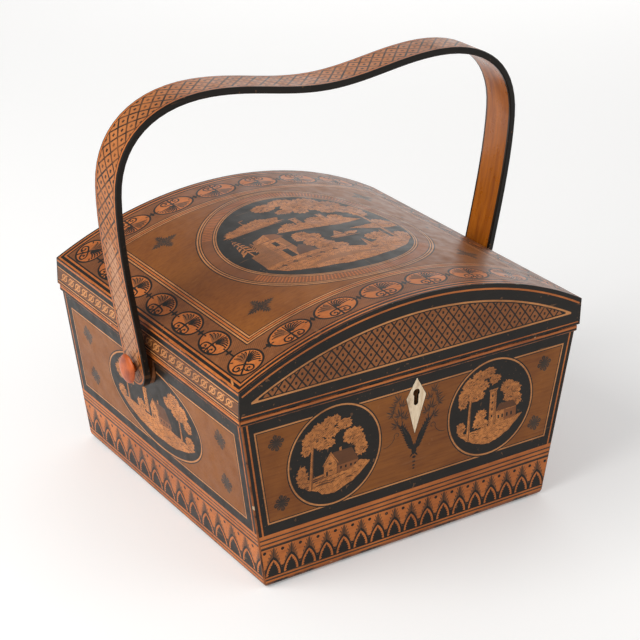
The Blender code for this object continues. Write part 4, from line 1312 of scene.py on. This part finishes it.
bodySettings = {"halfLow": 92.0, "halfHigh": 107.4, "height": 101.7, "halfDepth": 97.1, "rimLow": 98.1,
                "rimHalfWidth": 107.5, "rimHalfDepth": 97.1, "rimReach": 0.1065, "skin": 0.0002,
                "edgeBand": 0.0012, "underBelow": 0.0008, "bedDepth": 0.0954, "bedHalf": 0.007,
                "bedLow": 0.062}


def dressBody(s):
    inks = inkIndex("edge black ground tan pale figure shade roof umber faded inside under")
    work = openCopy("box_body")
    lean = math.atan2(s["halfHigh"] - s["halfLow"], s["height"])
    walls, rims = wallSettings, s["rimLow"] * mm
    frontSheet = wallSheet(walls["front"], s["halfLow"], s["halfHigh"], s["height"], frontPicture)
    backSheet = wallSheet(walls["front"], s["halfLow"], s["halfHigh"], s["height"], backPicture)
    sideSheet = wallSheet(walls["side"], s["halfDepth"], s["halfDepth"], s["height"], sidePicture)
    outer = s["halfDepth"] * mm - s["skin"]

    def isLow(co):
        return co.z < rims and (abs(co.y) > outer or abs(co.x) > (s["halfLow"] - 1) * mm)

    def rimAt(axis, side, reach):
        return lambda co: co.z > rims and co[axis] * side > reach
    cos, sin = math.cos(lean), math.sin(lean)
    wideRim, deepRim, side = rimSheet(s["rimHalfWidth"]), rimSheet(s["rimHalfDepth"]), s["rimReach"]
    jobs = [
        ("front", (0, -1, 0), (1, 0, 0), isLow, frontSheet),
        ("back", (0, 1, 0), (-1, 0, 0), isLow, backSheet),
        ("left", (-cos, 0, -sin), (0, -1, 0), isLow, sideSheet),
        ("right", (cos, 0, -sin), (0, 1, 0), isLow, sideSheet),
        ("frontRim", (0, -1, 0), (1, 0, 0), rimAt(1, -1, outer), wideRim),
        ("backRim", (0, 1, 0), (-1, 0, 0), rimAt(1, 1, outer), wideRim),
        ("leftRim", (-1, 0, 0), (0, -1, 0), rimAt(0, -1, side), deepRim),
        ("rightRim", (1, 0, 0), (0, 1, 0), rimAt(0, 1, side), deepRim),
    ]
    layWalls(work, jobs, inks)
    for face in work.faces:  # what the drawing doesn't cover
        if face.material_index or len(face.verts) < 3:
            continue
        middle = face.calc_center_median()
        edgeX = s["halfLow"] * mm + (s["halfHigh"] - s["halfLow"]) * middle.z / s["height"]
        inside = abs(middle.x) < edgeX - s["edgeBand"] and abs(middle.y) < outer - s["edgeBand"]
        shadedPlateBed = middle.y < -s["bedDepth"] and abs(middle.x) < s["bedHalf"] and middle.z > s["bedLow"]
        if middle.z < s["underBelow"]:
            face.material_index = inks["under"]
        # painted shade: the bed of the plate, seen through the hole for the key, is black
        elif shadedPlateBed:
            face.material_index = inks["black"]
        elif inside:
            face.material_index = inks["inside"]
    piece = closeCopy(work, "painted_body", inks)
    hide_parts("box_body")
    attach(piece, "box")


dressBody(bodySettings)


# Lid

def dressLid(s):
    inks = inkIndex("edge black ground tan pale hatch figure shade roof umber faded lattice inside")
    work = openCopy("lid")
    middle = (s["crown"] - s["radius"]) * mm
    radius = s["radius"] * mm

    def isTop(face):
        co = face.calc_center_median()
        reach = math.hypot(co.x, co.z - middle)
        return face.normal.z > 0.8 and abs(reach - radius) < 0.0004 and abs(face.normal.y) < 0.05

    def flat(co):
        return (math.atan2(co.x, co.z - middle) * s["radius"], co.y / mm)
    faces = [face for face in work.faces if isTop(face)]
    stations = sorted({(round(flat(v.co)[0], 3), v.co.x, v.co.z) for face in faces for v in face.verts})
    arcs = np.array([station[0] for station in stations])
    xs = np.array([station[1] for station in stations])
    zs = np.array([station[2] for station in stations])

    def lift(u, v):
        return Vector((np.interp(u, arcs, xs), v * mm, np.interp(u, arcs, zs)))

    def normalAt(u, v):
        angle = u / s["radius"]
        return Vector((math.sin(angle), 0, math.cos(angle)))
    count = layPanel(work, faces, flat, lift, normalAt, lidTopSheet(s), inks, True)
    print("   lid top", count, "arc from", arcs.min(), "to", arcs.max())
    deep = (s["halfDepth"] + 0.3) * mm
    wide = (s["halfWidth"] - 0.2) * mm
    endSheet, sideSheet = lidEndSheet(s), lidSideSheet()
    jobs = [
        ("lidFront", (0, -1, 0), (1, 0, 0), lambda co: co.y < -deep, endSheet),
        ("lidBack", (0, 1, 0), (-1, 0, 0), lambda co: co.y > deep, endSheet),
        ("lidLeft", (-1, 0, 0), (0, -1, 0), lambda co: co.x < -wide, sideSheet),
        ("lidRight", (1, 0, 0), (0, 1, 0), lambda co: co.x > wide, sideSheet),
    ]
    layWalls(work, jobs, inks)
    for face in work.faces:
        if face.material_index:
            continue
        co = face.calc_center_median()
        reach = math.hypot(co.x, co.z - middle)
        if abs(co.x) < wide - 0.001 and abs(co.y) < deep - 0.001 and reach < radius - 0.001:
            face.material_index = inks["inside"]
    piece = closeCopy(work, "painted_lid", inks)
    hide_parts("lid")
    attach(piece, "lid")


dressLid(lidSettings)


# Handle

handleSettings = {"pivotX": 114.1, "pivotZ": 91.8, "endReach": 11.5, "lean": 5.0, "bowTop": 240.2,
                  "dip": 7.8,
                  "reach": 127.4, "reachZ": 192.9, "shoulder": 72.0, "width": 22.4, "faceGap": 0.4,
                  "backGap": 2.2, "sharp": 40,
                  # spans along the strip where the left leg gets painted sheen
                  "rubbedAndSheen": ((6.0, 72.0, 15.6), (64.0, 88.0, 9.0))}


def bowLine(s):  # the outer face of the strip, from the left end over to the right end
    lean = math.radians(s["lean"])
    tip = (s["pivotX"] - s["endReach"] * math.tan(2 * lean), s["pivotZ"] - s["endReach"])
    down = (s["reachZ"] - s["pivotZ"]) * 0.37
    up = (s["bowTop"] - s["reachZ"]) * 0.65
    pull = (s["reach"] - s["shoulder"]) * 0.61
    dipPull = s["shoulder"] * 0.36
    foot = s["endReach"] * 2.2
    out = (s["reach"], s["reachZ"])
    top = (s["shoulder"], s["bowTop"])
    low = (0.0, s["bowTop"] - s["dip"])
    half = np.vstack([
        bendOf(low, (dipPull, low[1]), (top[0] - dipPull, top[1]), top, 300),
        bendOf(top, (top[0] + pull, top[1]), (out[0], out[1] + up), out, 300)[1:],
        bendOf(out, (out[0], out[1] - down),
               (tip[0] + foot * math.sin(lean), tip[1] + foot * math.cos(lean)), tip, 300)[1:],
    ])
    return np.vstack([(half * np.array([[-1.0, 1.0]]))[::-1], half[1:]])


def handleSheet(s, length):
    halfWidth = s["width"] / 2
    end = length / 2

    def pill(inset, steps=16):
        radius = halfWidth - inset
        turns = np.linspace(-math.pi / 2, math.pi / 2, steps)
        right = np.stack([end - halfWidth - 0.6 + radius * np.cos(turns), radius * np.sin(turns)], 1)
        return np.vstack([right, -right])
    sheet = [(pill(1.0), "tan"), (pill(2.1), "black"), (pill(2.6), "net")]
    for low, high, wide in s["rubbedAndSheen"]:  # left leg: pale patches of painted sheen
        patch = blobOf(-end + (low + high) / 2, 0, (high - low) / 2, wide / 2, 9, random.Random(5), 0.12)
        sheet.append((patch, "legs"))
    return sheet


def dressHandle(s):
    inks = inkIndex("black tan net legs honey")
    work = openCopy("handle")
    line = bowLine(s)
    steps = np.hypot(*np.diff(line, axis=0).T)
    along = np.concatenate([[0.0], np.cumsum(steps)])
    length = along[-1]
    along -= length / 2
    slopes = np.gradient(line, axis=0)
    slopes /= np.hypot(slopes[:, 0], slopes[:, 1])[:, None]

    def nearest(co):
        gap = np.hypot(line[:, 0] - co.x / mm, line[:, 1] - co.z / mm)
        index = int(gap.argmin())
        return index, gap[index]

    def flat(co):
        index = nearest(co)[0]
        ahead = np.array([co.x / mm, co.z / mm]) - line[index]
        return (along[index] + float(ahead @ slopes[index]), co.y / mm)
    faces = []
    for face in work.faces:
        far = max(nearest(v.co)[1] for v in face.verts)
        if far < s["faceGap"] and abs(face.normal.y) < 0.2:
            faces.append(face)
    stations = {}
    for face in faces:
        for v in face.verts:
            stations.setdefault(round(flat(v.co)[0], 2), (v.co.x, v.co.z))
    arcs = np.array(sorted(stations))
    xs = np.array([stations[a][0] for a in arcs])
    zs = np.array([stations[a][1] for a in arcs])

    def lift(u, v):
        return Vector((np.interp(u, arcs, xs), v * mm, np.interp(u, arcs, zs)))

    def normalAt(u, v):
        x = np.interp(u, along, slopes[:, 0])
        z = np.interp(u, along, slopes[:, 1])
        return Vector((-z, 0, x)).normalized()
    count = layPanel(work, faces, flat, lift, normalAt, handleSheet(s, length), inks, True)
    print("   handle outer face", count, "length", round(length, 1))
    for face in work.faces:
        if face.material_index or abs(face.normal.y) > 0.5:
            continue
        if nearest(face.calc_center_median())[1] > s["backGap"]:
            face.material_index = inks["honey"]
    piece = closeCopy(work, "painted_handle", inks, s["sharp"])
    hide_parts("handle")
    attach(piece, "handle")


dressHandle(handleSettings)


# Bone, pegs, pads and hinges keep their solids and get their finishes

boneSettings = {"roughLow": 0.3, "roughHigh": 0.45, "bump": 0.12, "coat": 0.15, "coatRough": 0.2,
                "colours": tones((246, 226, 194), (214, 184, 146)), "stretch": (420.0, 420.0, 60.0),
                # the last pair: depths over which painted shade turns the hole for the key black
                "grime": paint(150, 112, 76), "keyhole": (-0.0970, -0.0968)}


def makeBone(s):  # painted shade: below its face, in the hole for the key, the plate turns black
    material, tree, shader = startMaterial("agedBone")
    grain = useGroup(tree, grainGroup, {**s["colours"], "Stretch": s["stretch"]})
    place = objectPlace(tree)
    grime = addRange(tree, addNoise(tree, place, 160.0, 4.0, 0.65), 0.5, 0.72)
    colour = addMix(tree, addMath(tree, "MULTIPLY", grime, 0.6), grain.outputs["Color"], s["grime"])
    # painted shade: deeper than the plate's face, the bone is mixed to black
    depth = addNode(tree, "ShaderNodeSeparateXYZ", {"Vector": place}).outputs["Y"]
    colour = addMix(tree, addRange(tree, depth, *s["keyhole"]), colour, penSettings["black"]["Dark"])
    tree.links.new(colour, shader.inputs["Base Color"])
    finishSurface(tree, shader, s, grain.outputs["Height"])
    return material


brassSettings = {"roughLow": 0.3, "roughHigh": 0.55, "bump": 0.1, "coat": 0.0, "coatRough": 0.2,
                 "bright": paint(196, 152, 84), "tarnish": paint(104, 74, 38),
                 "scratch": paint(226, 190, 126)}


def makeBrass(s):
    material, tree, shader = startMaterial("agedBrass")
    tarnish = addRange(tree, addNoise(tree, objectPlace(tree), 420.0, 4.0, 0.7), 0.42, 0.64)
    colour = addMix(tree, tarnish, s["bright"], s["tarnish"])
    scratches = useGroup(tree, scratchGroup, {"Amount": 0.6, "Size": 1.6}).outputs["Mask"]
    colour = addMix(tree, scratches, colour, s["scratch"])
    tree.links.new(colour, shader.inputs["Base Color"])
    shader.inputs["Metallic"].default_value = 1.0
    finishSurface(tree, shader, s)
    return material


plainFinishes = {
    "escutcheon": makeBone(boneSettings),
    "peg": makePlainWood("amberPeg", "peg", "satin"),
    "pad": makePlainWood("brownPad", "pad", "polish"),
    "hinge": makeBrass(brassSettings),
}


def dressNodes():
    for name, node in nodes.items():
        for key, material in plainFinishes.items():
            if name.startswith(key) or (key == "pad" and "pad" in name):
                for slot in node.material_slots:
                    slot.material = material
                if not node.material_slots:
                    node.data.materials.append(material)


dressNodes()


# Hinge screws: one tree places a slotted head on each point, sunk into its leaf

screwSettings = {"hingeX": 60.0, "offsets": (-8.6, 0.0, 8.6), "y": (95.4, 95.9, 95.4), "boxLeafTop": 101.7,
                 "lidLeafBottom": 102.3, "radius": 1.15, "depth": 0.6, "proud": 0.1, "slotWidth": 0.32,
                 "slotDepth": 0.22,
                 "sides": 24, "spinLow": 0.2, "spinHigh": 2.9}


def makeScrewTree(s):
    tree = bpy.data.node_groups.new("hingeScrews", "GeometryNodeTree")
    tree.interface.new_socket("Geometry", in_out="INPUT", socket_type="NodeSocketGeometry")
    for name in ("Radius", "Depth", "Proud", "Slot Width", "Slot Depth", "Tip Over"):
        tree.interface.new_socket(name, in_out="INPUT", socket_type="NodeSocketFloat")
    tree.interface.new_socket("Seed", in_out="INPUT", socket_type="NodeSocketInt")
    tree.interface.new_socket("Finish", in_out="INPUT", socket_type="NodeSocketMaterial")
    tree.interface.new_socket("Geometry", in_out="OUTPUT", socket_type="NodeSocketGeometry")
    given = tree.nodes.new("NodeGroupInput")
    out = tree.nodes.new("NodeGroupOutput")
    half = addMath(tree, "MULTIPLY", given.outputs["Depth"], 0.5)
    head = addNode(tree, "GeometryNodeMeshCylinder", {"Vertices": s["sides"],
        "Radius": given.outputs["Radius"], "Depth": given.outputs["Depth"]})
    long = addMath(tree, "MULTIPLY", given.outputs["Radius"], 3.0)
    deep = addMath(tree, "MULTIPLY", given.outputs["Slot Depth"], 2.0)
    size = addNode(tree, "ShaderNodeCombineXYZ", {"X": long, "Y": given.outputs["Slot Width"], "Z": deep})
    bar = addNode(tree, "GeometryNodeMeshCube", {"Size": size.outputs[0]})
    lift = addNode(tree, "ShaderNodeCombineXYZ", {"Z": half})
    slot = addNode(tree, "GeometryNodeTransform",
                   {"Geometry": bar.outputs["Mesh"], "Translation": lift.outputs[0]})
    cut = addNode(tree, "GeometryNodeMeshBoolean", {"Mesh 1": head.outputs["Mesh"],
        "Mesh 2": slot.outputs[0]}, operation="DIFFERENCE")
    drop = addNode(tree, "ShaderNodeCombineXYZ",
                   {"Z": addMath(tree, "SUBTRACT", given.outputs["Proud"], half)})
    sunk = addNode(tree, "GeometryNodeTransform",
                   {"Geometry": cut.outputs["Mesh"], "Translation": drop.outputs[0]})
    spin = addNode(tree, "FunctionNodeRandomValue", {"Seed": given.outputs["Seed"]}, data_type="FLOAT")
    spin.inputs[2].default_value = s["spinLow"]
    spin.inputs[3].default_value = s["spinHigh"]
    turn = addNode(tree, "ShaderNodeCombineXYZ", {"X": given.outputs["Tip Over"], "Z": spin.outputs[1]})
    heads = addNode(tree, "GeometryNodeInstanceOnPoints", {
        "Points": given.outputs["Geometry"], "Instance": sunk.outputs[0], "Rotation": turn.outputs[0]})
    real = addNode(tree, "GeometryNodeRealizeInstances", {"Geometry": heads.outputs[0]})
    made = addNode(tree, "GeometryNodeSetMaterial",
                   {"Geometry": real.outputs[0], "Material": given.outputs["Finish"]})
    tree.links.new(made.outputs[0], out.inputs["Geometry"])
    return tree


def makeScrews(s, tree, name, body, height, tipOver, seed):
    points = bpy.data.meshes.new(name + "Points")
    places = [((side * s["hingeX"] + dx) * mm, y * mm, height * mm)
              for side in (-1, 1) for dx, y in zip(s["offsets"], s["y"])]
    points.from_pydata(places, [], [])
    piece = bpy.data.objects.new(name, points)
    bpy.context.scene.collection.objects.link(piece)
    modifier = piece.modifiers.new("screws", "NODES")
    modifier.node_group = tree
    sizes = {"Radius": s["radius"] * mm, "Depth": s["depth"] * mm, "Proud": s["proud"] * mm,
             "Slot Width": s["slotWidth"] * mm, "Slot Depth": s["slotDepth"] * mm, "Tip Over": tipOver,
             "Seed": seed, "Finish": plainFinishes["hinge"]}
    for item in tree.interface.items_tree:
        if item.in_out == "INPUT" and item.name in sizes:
            modifier[item.identifier] = sizes[item.name]
    ready = piece.evaluated_get(bpy.context.evaluated_depsgraph_get())
    mesh = bpy.data.meshes.new_from_object(ready)
    piece.modifiers.remove(modifier)
    piece.data = mesh
    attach(piece, body)
    print("  ", name, len(mesh.polygons), "faces")


screwTree = makeScrewTree(screwSettings)
makeScrews(screwSettings, screwTree, "hinge_screws_box", "box", screwSettings["boxLeafTop"], 0.0, 3)
makeScrews(screwSettings, screwTree, "hinge_screws_lid", "lid", screwSettings["lidLeafBottom"], math.pi, 8)

print("all pieces made")
